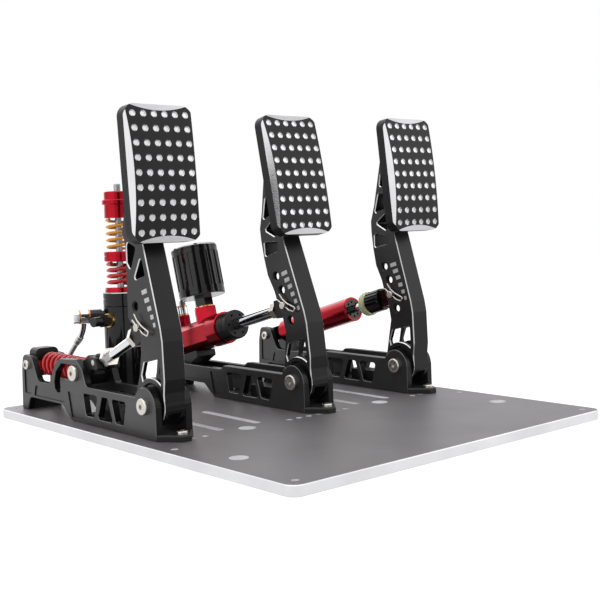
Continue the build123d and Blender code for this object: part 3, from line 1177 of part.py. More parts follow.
def build():
    save(base_plate(), "base_plate")
    modules = (("clutch", CLUTCH_X, CLUTCH_WALL_SHARES, REAR_PIVOT_HEIGHT, True),
               ("brake", BRAKE_X, BRAKE_WALL_SHARES, BRAKE_REAR_BOLT_HEIGHT, False),
               ("throttle", THROTTLE_X, WALL_SHARES, REAR_PIVOT_HEIGHT, False))
    hinge_bolts = []
    rear_bolts = []
    floor_bolts = []
    bearings = []
    sensors = []
    half = MODULE_WIDTH / 2
    bolt_y = NOSE_U - TONGUE_LENGTH + TONGUE_BOLT_BACK
    for name, x, shares, rear_height, j_slot in modules:
        save(in_module(x, side_wall(shares, -1, rear_height, j_slot)), name + "_left_wall")
        save(in_module(x, side_wall(shares, 1, rear_height, j_slot)), name + "_right_wall")
        save(group([in_module(x, module_floor()), in_module(x, rear_foot())]), name + "_floor")
        hinge_bolts += [in_module(x, s) for s in bolt_along_x(
            (0, HINGE_HEIGHT), AXLE_R, BOLT_HEAD_R, BOLT_HEAD_HEIGHT, -half, half, NUT_R * 1.2, NUT_HEIGHT)]
        rear_bolts += [in_module(x, s) for s in bolt_along_x(
            (REAR_PIVOT_U, rear_height), REAR_BOLT_R, REAR_BOLT_HEAD_R, REAR_BOLT_HEAD_HEIGHT, -half, half,
            NUT_R, NUT_HEIGHT)]
        floor_bolts.append(in_module(x, Pos(0, bolt_y, 0) * plate_bolt(FLOOR_THICK)))
        floor_bolts.append(in_module(x, Pos(0, REAR_FOOT_U, 0) * plate_bolt(REAR_FOOT_HEIGHT)))
        bearings += [in_module(x, s) for s in hinge_bearings()]
        sensors.append(in_module(x, position_sensor()))
    save(group(hinge_bolts), "hinge_bolts")
    save(group(rear_bolts), "rear_bolts")
    save(group(floor_bolts), "floor_bolts")
    save(group(bearings), "hinge_bearings")
    save(group(sensors), "position_sensors")

    clutch_tables = (CLUTCH_ARM_SHARES, CLUTCH_WINDOW_SHARES, CLUTCH_HOLE_SHARES, CLUTCH_PIN_SHARE,
                     CLUTCH_CHANNEL_SHARE)
    throttle_tables = (THROTTLE_ARM_SHARES, THROTTLE_WINDOW_SHARES, THROTTLE_HOLE_SHARES,
                       THROTTLE_PIN_SHARE, THROTTLE_CHANNEL_SHARE)
    arms = (("clutch", CLUTCH_X, clutch_tables, CLUTCH_FACE, 0.0),
            ("brake", BRAKE_X, throttle_tables, THROTTLE_FACE, BRAKE_LEAN),
            ("throttle", THROTTLE_X, throttle_tables, THROTTLE_FACE, 0.0))
    for name, x, tables, face_place, lean in arms:
        frame = face_frame(face_place)
        pin_share = tables[3]
        pieces = (("arm", pedal_arm(*tables)), ("face", frame * pedal_face()),
                  ("face_bracket", face_bracket(frame, tables[0])))
        for piece, shape in pieces:
            save(in_module(x, lean_back(shape, lean)), name + "_" + piece)
        pin_set = [in_module(x, lean_back(s, lean)) for s in (arm_pin(pin_share), pin_clip(pin_share))]
        save(group(pin_set), name + "_arm_pin")

    def throttle_part(shape, name):
        save(in_module(THROTTLE_X, along(THROTTLE_PIN, THROTTLE_SLOPE, shape)), name)

    throttle_part(fork(FORK_WIDTH, PIN_R + PIN_OPEN_GAP), "throttle_fork")
    throttle_part(damper_knob(), "damper_knob")
    throttle_part(bump_ring(), "bump_ring")
    throttle_part(damper_rod(), "damper_rod")
    throttle_part(damper_tube(), "damper_tube")
    throttle_part(damper_tube_cap(), "damper_tube_cap")
    throttle_part(damper_spring(), "damper_spring")

    def brake_place(shape):
        return in_module(BRAKE_X, along(BRAKE_PIN, CYLINDER_SLOPE, shape))

    save(brake_place(fork(FORK_WIDTH, PIN_R + PIN_OPEN_GAP)), "brake_fork")
    save(group([brake_place(push_rod()), brake_place(jam_nut())]), "brake_push_rod")
    save(brake_place(cylinder_boot()), "cylinder_boot")
    save(brake_place(master_cylinder()), "master_cylinder")
    save(brake_place(brake_piston()), "brake_piston")
    save(in_module(BRAKE_X, cylinder_bracket()), "cylinder_bracket")
    save(brake_place(reservoir_fitting()), "reservoir_fitting")
    save(group([brake_place(s) for s in [reservoir()] + reservoir_caps()]), "reservoir")

    save(in_slave(slave_cylinder()), "slave_cylinder")
    save(in_slave(slave_cap()), "slave_cap")
    save(in_slave(slave_piston()), "slave_piston")
    red = coil_spring("slave_red_spring", RED_SPRING_OUTER_R, RED_SPRING_WIRE_R,
                      RED_SPRING_LENGTH - 2 * RUNNING_GAP, RED_SPRING_TURNS)
    save(in_slave(Pos(0, 0, SEAT_TOP + RUNNING_GAP) * red), "slave_red_spring")
    save(in_slave(mid_collar()), "slave_collar")
    amber = coil_spring("slave_amber_spring", AMBER_SPRING_OUTER_R, AMBER_SPRING_WIRE_R,
                        AMBER_SPRING_LENGTH - 2 * RUNNING_GAP, AMBER_SPRING_TURNS)
    save(in_slave(Pos(0, 0, COLLAR_TOP + RUNNING_GAP) * amber), "slave_amber_spring")
    save(in_slave(top_cap()), "slave_top_cap")
    save(in_slave(tie_rod()), "slave_tie_rod")
    save(group([in_slave(hose_adapter()), in_slave(pressure_switch())]), "slave_fitting")

    banjo_two = brake_place(upward(PORT_TWO, banjo(BANJO_BASE)))
    head_two = BANJO_BASE + BANJO_THICK + WASHER_THICK

    def on_adapter(shape):
        return in_slave(laid(ADAPTER_LEVEL, ADAPTER_TURN, shape))

    save(group([banjo_two, brake_place(upward(PORT_TWO, banjo_bolt(WASHER_TWO, head_two))),
                on_adapter(banjo(SIDE_BANJO)), on_adapter(banjo_bolt(ADAPTER_END, SIDE_WASHER_END))]),
         "hose_banjos")
    switch_ring = ring(SWITCH_RING_R, BANJO_BOLT_R, seat_distance(SWITCH_RING_R), SWITCH_RING_END)
    washers = [in_slave(laid(SWITCH_LEVEL, SWITCH_TURN, switch_ring)),
               on_adapter(disc(BANJO_R, BANJO_BOLT_R, ADAPTER_END)),
               on_adapter(disc(BANJO_R, BANJO_BOLT_R, SIDE_BANJO_END)),
               brake_place(upward(PORT_ONE, disc(FITTING_R, BANJO_BOLT_R, WASHER_ONE))),
               brake_place(upward(PORT_TWO, disc(BANJO_R, BANJO_BOLT_R, WASHER_TWO))),
               brake_place(upward(PORT_TWO, disc(BANJO_R, BANJO_BOLT_R, BANJO_BASE + BANJO_THICK)))]
    save(group(washers), "copper_washers")
    banjo_centre = banjo_two.bounding_box().center()
    save(brake_hose((banjo_centre.Y, banjo_centre.Z)), "brake_hose")

    def clutch_place(shape):
        return in_module(CLUTCH_X, along(CLUTCH_PIN, CLUTCH_SLOPE, shape))

    save(clutch_place(fork(FORK_WIDTH, PIN_R + RUNNING_GAP)), "clutch_fork")
    save(group([clutch_place(s) for s in [clutch_rod(), clutch_rod_end()] + clutch_nuts()]), "clutch_rod")
    save(in_module(CLUTCH_X, clutch_carrier()), "clutch_carrier")
    save(group([in_module(CLUTCH_X, s) for s in carrier_pins()]), "carrier_pins")
    save(in_module(CLUTCH_X, clutch_spring()), "clutch_spring")
    save(in_module(CLUTCH_X, clutch_rear_seat()), "clutch_rear_seat")


build()
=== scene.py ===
import math

import bmesh
import bpy
import numpy as np
from mathutils import Matrix, Vector

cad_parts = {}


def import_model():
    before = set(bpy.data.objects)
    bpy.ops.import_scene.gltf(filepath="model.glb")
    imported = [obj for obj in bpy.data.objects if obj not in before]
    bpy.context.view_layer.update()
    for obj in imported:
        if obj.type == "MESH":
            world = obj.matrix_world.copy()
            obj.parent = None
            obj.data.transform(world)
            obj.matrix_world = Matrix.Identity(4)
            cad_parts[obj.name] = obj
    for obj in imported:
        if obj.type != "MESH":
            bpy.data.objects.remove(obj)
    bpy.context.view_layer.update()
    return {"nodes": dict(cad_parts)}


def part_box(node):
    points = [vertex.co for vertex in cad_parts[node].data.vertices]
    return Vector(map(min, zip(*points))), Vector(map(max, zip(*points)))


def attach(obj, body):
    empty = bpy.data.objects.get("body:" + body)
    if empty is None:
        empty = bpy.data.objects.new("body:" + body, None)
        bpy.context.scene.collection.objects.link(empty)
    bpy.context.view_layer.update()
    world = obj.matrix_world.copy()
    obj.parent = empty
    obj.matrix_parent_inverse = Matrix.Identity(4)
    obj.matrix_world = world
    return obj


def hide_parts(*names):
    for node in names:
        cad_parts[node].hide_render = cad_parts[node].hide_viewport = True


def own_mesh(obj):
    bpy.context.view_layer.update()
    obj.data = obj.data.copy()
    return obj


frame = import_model()
nodes = frame["nodes"]

# Places of the CAD part, in millimetres. The pedal frame's u runs to the rear
# from the hinge axis and v runs up from the top of the base plate.
HINGE_Y = -18.6
PLATE_TOP = 10.0
HINGE_V = 32.0
CLUTCH_X = -174.0
BRAKE_X = 15.0
THROTTLE_X = 176.4
MODULES = {"clutch": CLUTCH_X, "brake": BRAKE_X, "throttle": THROTTLE_X}
BRAKE_LEAN = 5.0
ARM_HALF = 12.5
MM = 1000.0


def add_object(name, data):
    obj = bpy.data.objects.new(name, data)
    bpy.context.scene.collection.objects.link(obj)
    return obj


# Materials

EVEN = (1, 1, 1)
WIDE_SCALE = 14.0
FINE_RELIEF = 0.0001
COAT_ROUGHNESS = 0.08
BRAID_TURNS = (0.7, -0.7)
BRAID_TIP = 0.3
BRAID_SCALE = 560.0
BRAID_RELIEF = 0.0003


def new_material(name):
    mat = bpy.data.materials.new(name)
    mat.use_nodes = True
    tree = mat.node_tree
    shader = tree.nodes["Principled BSDF"]
    return mat, tree, shader


def object_place(tree, scale=(1.0, 1.0, 1.0)):
    place = tree.nodes.new("ShaderNodeTexCoord")
    mapping = tree.nodes.new("ShaderNodeMapping")
    mapping.inputs["Scale"].default_value = scale
    tree.links.new(place.outputs["Object"], mapping.inputs["Vector"])
    return mapping.outputs["Vector"]


def noise(tree, vector, scale, detail=3.0, roughness=0.55):
    node = tree.nodes.new("ShaderNodeTexNoise")
    node.inputs["Scale"].default_value = scale
    node.inputs["Detail"].default_value = detail
    node.inputs["Roughness"].default_value = roughness
    tree.links.new(vector, node.inputs["Vector"])
    return node.outputs["Fac"]


def spread(tree, value, low, high, from_low=0.25, from_high=0.75):
    node = tree.nodes.new("ShaderNodeMapRange")
    node.inputs["From Min"].default_value = from_low
    node.inputs["From Max"].default_value = from_high
    node.inputs["To Min"].default_value = low
    node.inputs["To Max"].default_value = high
    tree.links.new(value, node.inputs["Value"])
    return node.outputs["Result"]


def between(tree, value, first, second):
    node = tree.nodes.new("ShaderNodeMix")
    node.data_type = "RGBA"
    node.inputs["A"].default_value = (*first, 1.0)
    node.inputs["B"].default_value = (*second, 1.0)
    tree.links.new(value, node.inputs["Factor"])
    return node.outputs["Result"]


def bump(tree, shader, height, strength, distance):
    node = tree.nodes.new("ShaderNodeBump")
    node.inputs["Strength"].default_value = strength
    node.inputs["Distance"].default_value = distance
    tree.links.new(height, node.inputs["Height"])
    tree.links.new(node.outputs["Normal"], shader.inputs["Normal"])


def metal(name, dark, light, rough, metallic, grain, scale, relief, coat=0.0, specular=0.5):
    """A metal or hard finish: colour and gloss vary a little, over a fine grain."""
    mat, tree, shader = new_material(name)
    place = object_place(tree, grain)
    fine = noise(tree, place, scale, 4.0)
    wide = noise(tree, object_place(tree), WIDE_SCALE, 3.0)
    tint = between(tree, spread(tree, wide, 0.0, 1.0), dark, light)
    tree.links.new(tint, shader.inputs["Base Color"])
    tree.links.new(spread(tree, fine, *rough), shader.inputs["Roughness"])
    shader.inputs["Metallic"].default_value = metallic
    shader.inputs["Specular IOR Level"].default_value = specular
    if coat:
        shader.inputs["Coat Weight"].default_value = coat
        shader.inputs["Coat Roughness"].default_value = COAT_ROUGHNESS
    bump(tree, shader, fine, relief, FINE_RELIEF)
    return mat


def grey(level):
    return (level, level, level * 1.02)


# Each finish: name, dark and light tint, range of roughness, metallic, and the grain's stretch,
# scale and relief
ARM_BLACK = metal("arm_black", grey(0.005), grey(0.008), (0.28, 0.40), 0.0, EVEN, 900.0, 0.12,
                  specular=0.20)
CHEEK = metal("cheek_brushed", grey(0.034), grey(0.050), (0.24, 0.38), 0.7, (1, 60, 6), 120.0, 0.10,
              specular=0.3)
WALL = metal("wall_brushed", grey(0.050), grey(0.075), (0.26, 0.42), 0.7, (1, 6, 60), 120.0, 0.10,
             specular=0.3)
# Near black on the walls' faces that are neither cheeks nor chamfers: inside the pockets, slots and
# windows this is painted shade
WALL_BLACK_AND_SHADE = metal("wall_black_painted_shade", grey(0.005), grey(0.008), (0.28, 0.40), 0.0, EVEN, 900.0, 0.10,
                   specular=0.20)
WALL_LINE = metal("wall_edge", grey(0.075), grey(0.13), (0.25, 0.38), 0.9, EVEN, 300.0, 0.05,
                  specular=0.3)
FACE_BLACK = metal("face_black", grey(0.006), grey(0.009), (0.36, 0.46), 0.0, EVEN, 1100.0, 0.15,
                   specular=0.20)
BRIGHT = metal("machined_bright", grey(0.47), grey(0.58), (0.18, 0.32), 1.0, (1, 1, 30), 150.0, 0.05)
DOT = metal("dot_bright", grey(0.40), grey(0.56), (0.20, 0.34), 1.0, EVEN, 260.0, 0.12)
PLATE_SATIN = metal("plate_satin", (0.185, 0.174, 0.183), (0.225, 0.214, 0.222), (0.40, 0.54), 0.6,
                    EVEN, 1500.0, 0.30, specular=0.3)
PLATE_EDGE = metal("plate_edge", grey(0.60), grey(0.72), (0.28, 0.42), 1.0, (3, 3, 60), 60.0, 0.08)
# The plate's hole walls are near white: painted light that stands in for the white floor seen
# through the holes
PLATE_HOLE_PAINTED_LIGHT = metal("plate_hole_painted_light", grey(0.84), grey(0.92), (0.40, 0.55), 0.2, (1, 1, 30), 200.0, 0.05)
BLACK_METAL = metal("black_metal", grey(0.003), grey(0.006), (0.06, 0.14), 0.0, EVEN, 700.0, 0.03,
                    specular=0.34)
BLACK_SATIN = metal("black_satin", grey(0.009), grey(0.014), (0.34, 0.44), 0.0, EVEN, 900.0, 0.10,
                    specular=0.28)
GREY_METAL = metal("grey_metal", grey(0.030), grey(0.050), (0.24, 0.36), 0.8, EVEN, 500.0, 0.08,
                   specular=0.3)
RING_LINE = metal("ring_line", grey(0.30), grey(0.42), (0.20, 0.32), 1.0, EVEN, 400.0, 0.04)
RED = metal("red_anodised", (0.25, 0.004, 0.011), (0.40, 0.008, 0.020), (0.16, 0.26), 1.0, EVEN,
            500.0, 0.05, coat=0.08)
STEEL = metal("zinc_steel", (0.50, 0.475, 0.44), (0.62, 0.59, 0.55), (0.22, 0.36), 1.0, EVEN,
              300.0, 0.10)
CHROME = metal("chrome", (0.62, 0.63, 0.65), (0.72, 0.73, 0.75), (0.05, 0.12), 1.0, EVEN,
               500.0, 0.02)
COPPER = metal("copper_washer", (0.62, 0.26, 0.11), (0.72, 0.34, 0.16), (0.22, 0.34), 1.0, EVEN,
               300.0, 0.06)
BRASS = metal("brass", (0.62, 0.40, 0.12), (0.72, 0.48, 0.17), (0.20, 0.32), 1.0, EVEN, 300.0, 0.06)
RED_SPRING = metal("red_spring_paint", (0.52, 0.004, 0.008), (0.62, 0.008, 0.012), (0.18, 0.28), 0.0,
                   EVEN, 300.0, 0.10, coat=0.4, specular=0.3)
AMBER_SPRING = metal("amber_spring_paint", (0.80, 0.30, 0.008), (0.88, 0.38, 0.016), (0.20, 0.30),
                     0.0, EVEN, 300.0, 0.10, coat=0.4, specular=0.3)
SPRING_STEEL = metal("spring_steel", (0.26, 0.26, 0.27), (0.34, 0.34, 0.35), (0.25, 0.38), 1.0,
                     EVEN, 300.0, 0.08)
PLASTIC = metal("sensor_plastic", grey(0.014), grey(0.020), (0.42, 0.55), 0.0, EVEN, 700.0, 0.20,
                specular=0.3)
MARK = metal("mark_print", grey(0.52), grey(0.62), (0.40, 0.55), 0.2, EVEN, 900.0, 0.10,
             specular=0.3)


def bump_rubber():
    mat, tree, shader = new_material("bump_rubber")
    place = object_place(tree)
    wide = noise(tree, place, 60.0, 2.0)
    tint = between(tree, spread(tree, wide, 0.0, 1.0), (0.74, 0.76, 0.46), (0.84, 0.86, 0.60))
    tree.links.new(tint, shader.inputs["Base Color"])
    shader.inputs["Roughness"].default_value = 0.28
    shader.inputs["Transmission Weight"].default_value = 0.35
    shader.inputs["IOR"].default_value = 1.45
    shader.inputs["Subsurface Weight"].default_value = 0.3
    shader.inputs["Subsurface Radius"].default_value = (0.004, 0.004, 0.002)
    bump(tree, shader, noise(tree, place, 900.0), 0.08, FINE_RELIEF)
    return mat


def braid():
    """Woven stainless strands over a hose, wound both ways."""
    mat, tree, shader = new_material("hose_braid")
    place = object_place(tree)
    heights = []
    for turn in BRAID_TURNS:
        mapping = tree.nodes.new("ShaderNodeMapping")
        mapping.inputs["Rotation"].default_value = (turn, BRAID_TIP, turn)
        tree.links.new(place, mapping.inputs["Vector"])
        wave = tree.nodes.new("ShaderNodeTexWave")
        wave.inputs["Scale"].default_value = BRAID_SCALE
        wave.inputs["Distortion"].default_value = 0.0
        tree.links.new(mapping.outputs["Vector"], wave.inputs["Vector"])
        heights.append(wave.outputs["Fac"])
    top = tree.nodes.new("ShaderNodeMath")
    top.operation = "MAXIMUM"
    tree.links.new(heights[0], top.inputs[0])
    tree.links.new(heights[1], top.inputs[1])
    raised = spread(tree, top.outputs[0], 0.0, 1.0, 0.3, 1.0)
    tint = between(tree, raised, (0.20, 0.20, 0.21), (0.62, 0.62, 0.64))
    tree.links.new(tint, shader.inputs["Base Color"])
    shader.inputs["Metallic"].default_value = 1.0
    shader.inputs["Roughness"].default_value = 0.25
    bump(tree, shader, top.outputs[0], 0.5, BRAID_RELIEF)
    return mat


BUMP_RUBBER = bump_rubber()
BRAID = braid()

# Finishes of the CAD nodes


def paint(name, base, rules=()):
    """Gives a node its base finish, and its rules' finishes to the faces that they pick."""
    mesh = nodes[name].data
    mesh.materials.clear()
    mesh.materials.append(base)
    count = len(mesh.polygons)
    if not rules:
        mesh.polygons.foreach_set("material_index", np.zeros(count, np.int32))
        return
    centres = np.zeros(count * 3)
    normals = np.zeros(count * 3)
    mesh.polygons.foreach_get("center", centres)
    mesh.polygons.foreach_get("normal", normals)
    centres = centres.reshape(-1, 3) * MM
    normals = normals.reshape(-1, 3)
    picked = np.zeros(count, np.int32)
    for number, (finish, choose) in enumerate(rules, start=1):
        mesh.materials.append(finish)
        picked[choose(centres, normals)] = number
    mesh.polygons.foreach_set("material_index", picked)
    mesh.update()


def pedal_uv(centres, lean):
    """Face centres in the pedal frame, with a leant arm turned back upright."""
    u = centres[:, 1] - HINGE_Y
    v = centres[:, 2] - PLATE_TOP - HINGE_V
    a = math.radians(lean)
    return u * math.cos(a) - v * math.sin(a), u * math.sin(a) + v * math.cos(a) + HINGE_V


# How far a normal points sideways or up, for faces that are flat, chamfered or grooved
CHEEK_SIDE = 0.93
CHAMFER_SIDE = 0.35
FLAT_UP = 0.9
RING_SLOPES = (0.3, 0.92)


def chamfers(centres, normals):
    side = np.abs(normals[:, 0])
    return (side > CHAMFER_SIDE) & (side < CHEEK_SIDE)


def cheeks(centres, normals):
    return np.abs(normals[:, 0]) > CHEEK_SIDE


# The arms' pins and holes, in parts of the arm's length from its hinge
ARM_LENGTH = 248.0
HIGH_PIN = (0.0387, 0.3371)
CLUTCH_HOLES = [(0.0569, 0.3044), (0.0952, 0.3851)]
OTHER_HOLES = [HIGH_PIN, (0.0931, 0.4690), (0.0629, 0.4052), (0.0185, 0.2694)]
ARM_HOLES = {"clutch": CLUTCH_HOLES, "brake": OTHER_HOLES, "throttle": OTHER_HOLES}
COUNTERSINK_R = 7.2


def arm_lean(name):
    return BRAKE_LEAN if name == "brake" else 0.0


def near_holes(name):
    """Faces of the arm's countersinks and bores."""
    def choose(centres, normals):
        u, v = pedal_uv(centres, arm_lean(name))
        found = np.zeros(len(u), bool)
        for across, along_arm in ARM_HOLES[name]:
            du = u - across * ARM_LENGTH
            dv = v - HINGE_V - along_arm * ARM_LENGTH
            found |= np.hypot(du, dv) < COUNTERSINK_R
        return found & ~cheeks(centres, normals)
    return choose


def along(pin, slope, name):
    """Distance from a pin along a strut that slopes down to the rear, and distance from its axis."""
    a = math.radians(slope)

    def place(centres):
        du = centres[:, 1] - HINGE_Y - pin[0]
        dv = centres[:, 2] - PLATE_TOP - pin[1]
        off = du * math.sin(a) + dv * math.cos(a)
        return du * math.cos(a) - dv * math.sin(a), np.hypot(centres[:, 0] - MODULES[name], off)
    return place


def ring_lines(centres, normals):
    """Chamfers and groove sides of an upright turned part."""
    up = np.abs(normals[:, 2])
    return (up > RING_SLOPES[0]) & (up < RING_SLOPES[1])


for name in MODULES:
    for side in ("left", "right"):
        # Walls: brushed cheeks, edge chamfers, and near black elsewhere, which is painted shade
        # inside the pockets, slots and windows
        paint(f"{name}_{side}_wall", WALL_BLACK_AND_SHADE, [(WALL, cheeks), (WALL_LINE, chamfers)])
    paint(f"{name}_floor", BLACK_SATIN)
    paint(f"{name}_arm", ARM_BLACK,
          [(CHEEK, cheeks), (BRIGHT, chamfers), (ARM_BLACK, near_holes(name))])
    paint(f"{name}_face_bracket", BLACK_SATIN)
    paint(f"{name}_arm_pin", STEEL)

# Pedal faces: place, tilt and lean of each tread's frame, and its grid of dots
FACES = {"clutch": (-16.75, 224.0, 4.3, 0.0), "brake": (-14.7, 225.05, 6.6, BRAKE_LEAN),
         "throttle": (-14.7, 225.05, 6.6, 0.0)}
CROWN_R = 400.0
CROWN_RISE = 4.0
DOT_COLUMNS = 6
DOT_ROWS = 9
DOT_PITCH_X = 12.0
DOT_PITCH_S = 14.1
DOT_R = 3.4
DOT_EDGE = 0.1
DOT_DEPTHS = (0.06, 1.8)
BEVEL_SLOPES = (0.12, 0.96)
BEVEL_BACK = -3.6
BEVEL_X = 33.0
BEVEL_S = 55.0


def face_axes(name):
    """Centre, up and outward directions of a tread in the pedal frame's u and v."""
    u, v, tilt, lean = FACES[name]
    a = math.radians(lean)
    centre = (u * math.cos(a) + v * math.sin(a), HINGE_V - u * math.sin(a) + v * math.cos(a))
    t = math.radians(tilt + lean)
    out = (-math.cos(t), math.sin(t))
    up = (math.sin(t), math.cos(t))
    return centre, up, out


def from_grid(place, pitch, count):
    """Distance from the nearest of a row of evenly spaced points round zero."""
    middle = (count - 1) / 2
    number = np.clip(np.round(place / pitch + middle), 0, count - 1)
    return place - (number - middle) * pitch


def face_rules(name):
    centre, up, out = face_axes(name)

    def local(centres):
        du = centres[:, 1] - HINGE_Y - centre[0]
        dv = centres[:, 2] - PLATE_TOP - centre[1]
        x = centres[:, 0] - MODULES[name]
        return x, du * up[0] + dv * up[1], du * out[0] + dv * out[1]

    def dots(centres, normals):
        x, s, z = local(centres)
        away = np.hypot(from_grid(x, DOT_PITCH_X, DOT_COLUMNS), from_grid(s, DOT_PITCH_S, DOT_ROWS))
        depth = CROWN_RISE - CROWN_R + np.sqrt(CROWN_R ** 2 - s ** 2) - z
        return (away < DOT_R + DOT_EDGE) & (depth > DOT_DEPTHS[0]) & (depth < DOT_DEPTHS[1])

    def bevels(centres, normals):
        x, s, z = local(centres)
        facing = normals[:, 1] * out[0] + normals[:, 2] * out[1]
        edge = (np.abs(x) > BEVEL_X) | (np.abs(s) > BEVEL_S)
        return (facing > BEVEL_SLOPES[0]) & (facing < BEVEL_SLOPES[1]) & (z > BEVEL_BACK) & edge

    return [(BRIGHT, bevels), (DOT, dots)]


for name in MODULES:
    paint(f"{name}_face", FACE_BLACK, face_rules(name))

PLATE_LOW, PLATE_HIGH = (np.array(corner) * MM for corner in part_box("base_plate"))
PLATE_RIM = 4.0


def plate_top(centres, normals):
    return normals[:, 2] > FLAT_UP


# Picks the walls of the plate's holes, which take the painted light
def plate_holes(centres, normals):
    gaps = np.minimum(centres[:, :2] - PLATE_LOW[:2], PLATE_HIGH[:2] - centres[:, :2])
    return (gaps.min(1) > PLATE_RIM) & (np.abs(normals[:, 2]) < FLAT_UP)


# Struts of the three pedals: the pin that each starts from and its slope in degrees
HIGH_PIN_PLACE = (HIGH_PIN[0] * ARM_LENGTH, HIGH_PIN[1] * ARM_LENGTH + HINGE_V)
CLUTCH_STRUT = along((14.111, 107.491), 24.415, "clutch")
BRAKE_STRUT = along((16.847, 114.446), 14.7, "brake")
THROTTLE_STRUT = along(HIGH_PIN_PLACE, 15.39, "throttle")
CLUTCH_NUTS = [(28.3, 35.2), (88.1, 94.9)]
CLUTCH_NUT_R = 5.9
CLUTCH_EYE_START = 94.7
BRAKE_NUT = (28.3, 36.1)
BRAKE_NUT_R = 6.9
DAMPER_EYE_START = 205.5
SWITCH_RING = (-110.0, 183.6, 107.5)
SWITCH_RING_R = 9.5


def clutch_nuts(centres, normals):
    d, r = CLUTCH_STRUT(centres)
    inside = [(d > start) & (d < end) for start, end in CLUTCH_NUTS]
    return (r > CLUTCH_NUT_R) & (inside[0] | inside[1])


def clutch_rod_end(centres, normals):
    return CLUTCH_STRUT(centres)[0] > CLUTCH_EYE_START


def brake_nut(centres, normals):
    d, r = BRAKE_STRUT(centres)
    return (r > BRAKE_NUT_R) & (d > BRAKE_NUT[0]) & (d < BRAKE_NUT[1])


def damper_end(centres, normals):
    return THROTTLE_STRUT(centres)[0] > DAMPER_EYE_START


def switch_ring(centres, normals):
    return np.linalg.norm(centres - SWITCH_RING, axis=1) < SWITCH_RING_R


PLAIN_FINISHES = [
    (STEEL, ["hinge_bolts", "rear_bolts", "floor_bolts", "hinge_bearings", "brake_piston",
             "carrier_pins"]),
    (PLASTIC, ["position_sensors"]),
    (BLACK_METAL, ["throttle_fork", "damper_knob", "damper_tube_cap", "reservoir_fitting",
                   "slave_cylinder"]),
    (BLACK_SATIN, ["brake_fork", "cylinder_boot", "cylinder_bracket", "clutch_fork",
                   "clutch_carrier", "clutch_rear_seat"]),
    (BUMP_RUBBER, ["bump_ring"]),
    (CHROME, ["damper_rod", "hose_banjos"]),
    (RED, ["master_cylinder", "slave_piston", "slave_collar", "slave_top_cap"]),
    (SPRING_STEEL, ["damper_spring", "slave_tie_rod"]),
    (RED_SPRING, ["slave_red_spring", "clutch_spring"]),
    (AMBER_SPRING, ["slave_amber_spring"]),
    (GREY_METAL, ["slave_fitting"]),
]
for finish, names in PLAIN_FINISHES:
    for name in names:
        paint(name, finish)
paint("base_plate", PLATE_EDGE, [(PLATE_SATIN, plate_top), (PLATE_HOLE_PAINTED_LIGHT, plate_holes)])
paint("damper_tube", RED, [(BLACK_METAL, damper_end)])
paint("brake_push_rod", CHROME, [(STEEL, brake_nut)])
paint("reservoir", BLACK_METAL, [(RING_LINE, ring_lines)])
paint("slave_cap", BLACK_METAL, [(RING_LINE, ring_lines)])
paint("copper_washers", COPPER, [(BRASS, switch_ring)])
paint("clutch_rod", CHROME, [(STEEL, clutch_nuts), (BLACK_METAL, clutch_rod_end)])

# Coils that go with their bodies: node, body, slot, joint, axis, the end that stays with
# the body, and the share of the length that is left at the joint's limit
DAMPER_AXIS = (0.0, 0.964125, -0.265448)
SPRINGS = [
    ("clutch_spring", "clutch_slider", "red_spring", "clutch_slider_travel", (0, 1, 0),
     (-0.174, 0.12147, 0.062), 0.784),
    ("slave_red_spring", "slave_shaft", "red_spring", "slave_shaft_lift", (0, 0, 1),
     (-0.089, 0.19, 0.14506), 0.849),
    ("slave_amber_spring", "slave_middle", "amber_spring", "slave_collar_lift", (0, 0, 1),
     (-0.089, 0.19, 0.18696), 0.881),
    ("damper_spring", "throttle_damper", "spring_steel", "damper_stroke", DAMPER_AXIS,
     (0.1764, 0.197995, 0.068609), 0.493),
]


def springs():
    for node, body, slot, joint, axis, end, keep in SPRINGS:
        coil = add_object(f"{node}_coil", nodes[node].data.copy())
        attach(coil, body)
        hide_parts(node)
        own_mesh(coil)


springs()

# The brake hose, from the banjo on the slave cylinder to the one on the master cylinder
HOSE_RADIUS = 0.0031
HOSE_STEPS = 12
HOSE_ROUNDNESS = 6
HOSE_ROUTE = [
    (-129.2, 209.3, 104.3), (-127.3, 214.0, 93.4), (-129.5, 229.5, 78.0), (-134.5, 240.0, 62.0),
    (-132.0, 248.5, 40.0), (-118.0, 250.0, 22.0), (-90.0, 248.0, 15.0), (-62.0, 243.0, 17.0),
    (-46.0, 238.0, 38.0), (-42.0, 231.0, 66.0), (-34.0, 220.8, 93.0), (-10.5, 217.8, 106.0),
    (6.5, 217.8, 106.0),
]


def hose_curve(points, radius, name):
    curve = bpy.data.curves.new(name, "CURVE")
    curve.dimensions = "3D"
    spline = curve.splines.new("NURBS")
    spline.points.add(len(points) - 1)
    for point, place in zip(spline.points, points):
        point.co = (*[c / MM for c in place], 1.0)
    spline.order_u = 3
    spline.use_endpoint_u = True
    spline.resolution_u = HOSE_STEPS
    curve.bevel_depth = radius
    curve.bevel_resolution = HOSE_ROUNDNESS
    curve.use_fill_caps = True
    return add_object(name, curve)


def spline_points(obj):
    """Points along the hose's own NURBS spline, in metres, with their distance from its start."""
    plain = obj.copy()
    plain.data = obj.data.copy()
    plain.data.bevel_depth = 0.0
    mesh = bpy.data.meshes.new_from_object(plain)
    points = np.array([vert.co for vert in mesh.vertices])
    bpy.data.objects.remove(plain)
    gone = np.r_[0.0, np.cumsum(np.linalg.norm(np.diff(points, axis=0), axis=1))]
    return points, gone


SLEEVE_SIDES = 28
SLEEVE_SHARP = 35.0
HEADING_STEP = 0.001


def band(build, one, two):
    """Faces between two closed rings of as many points."""
    count = len(one)
    for k in range(count):
        after = (k + 1) % count
        build.faces.new((one[k], one[after], two[after], two[k]))


def closed_mesh(build, name, finish):
    bmesh.ops.recalc_face_normals(build, faces=build.faces)
    mesh = bpy.data.meshes.new(name)
    build.to_mesh(mesh)
    build.free()
    mesh.materials.append(finish)
    return mesh


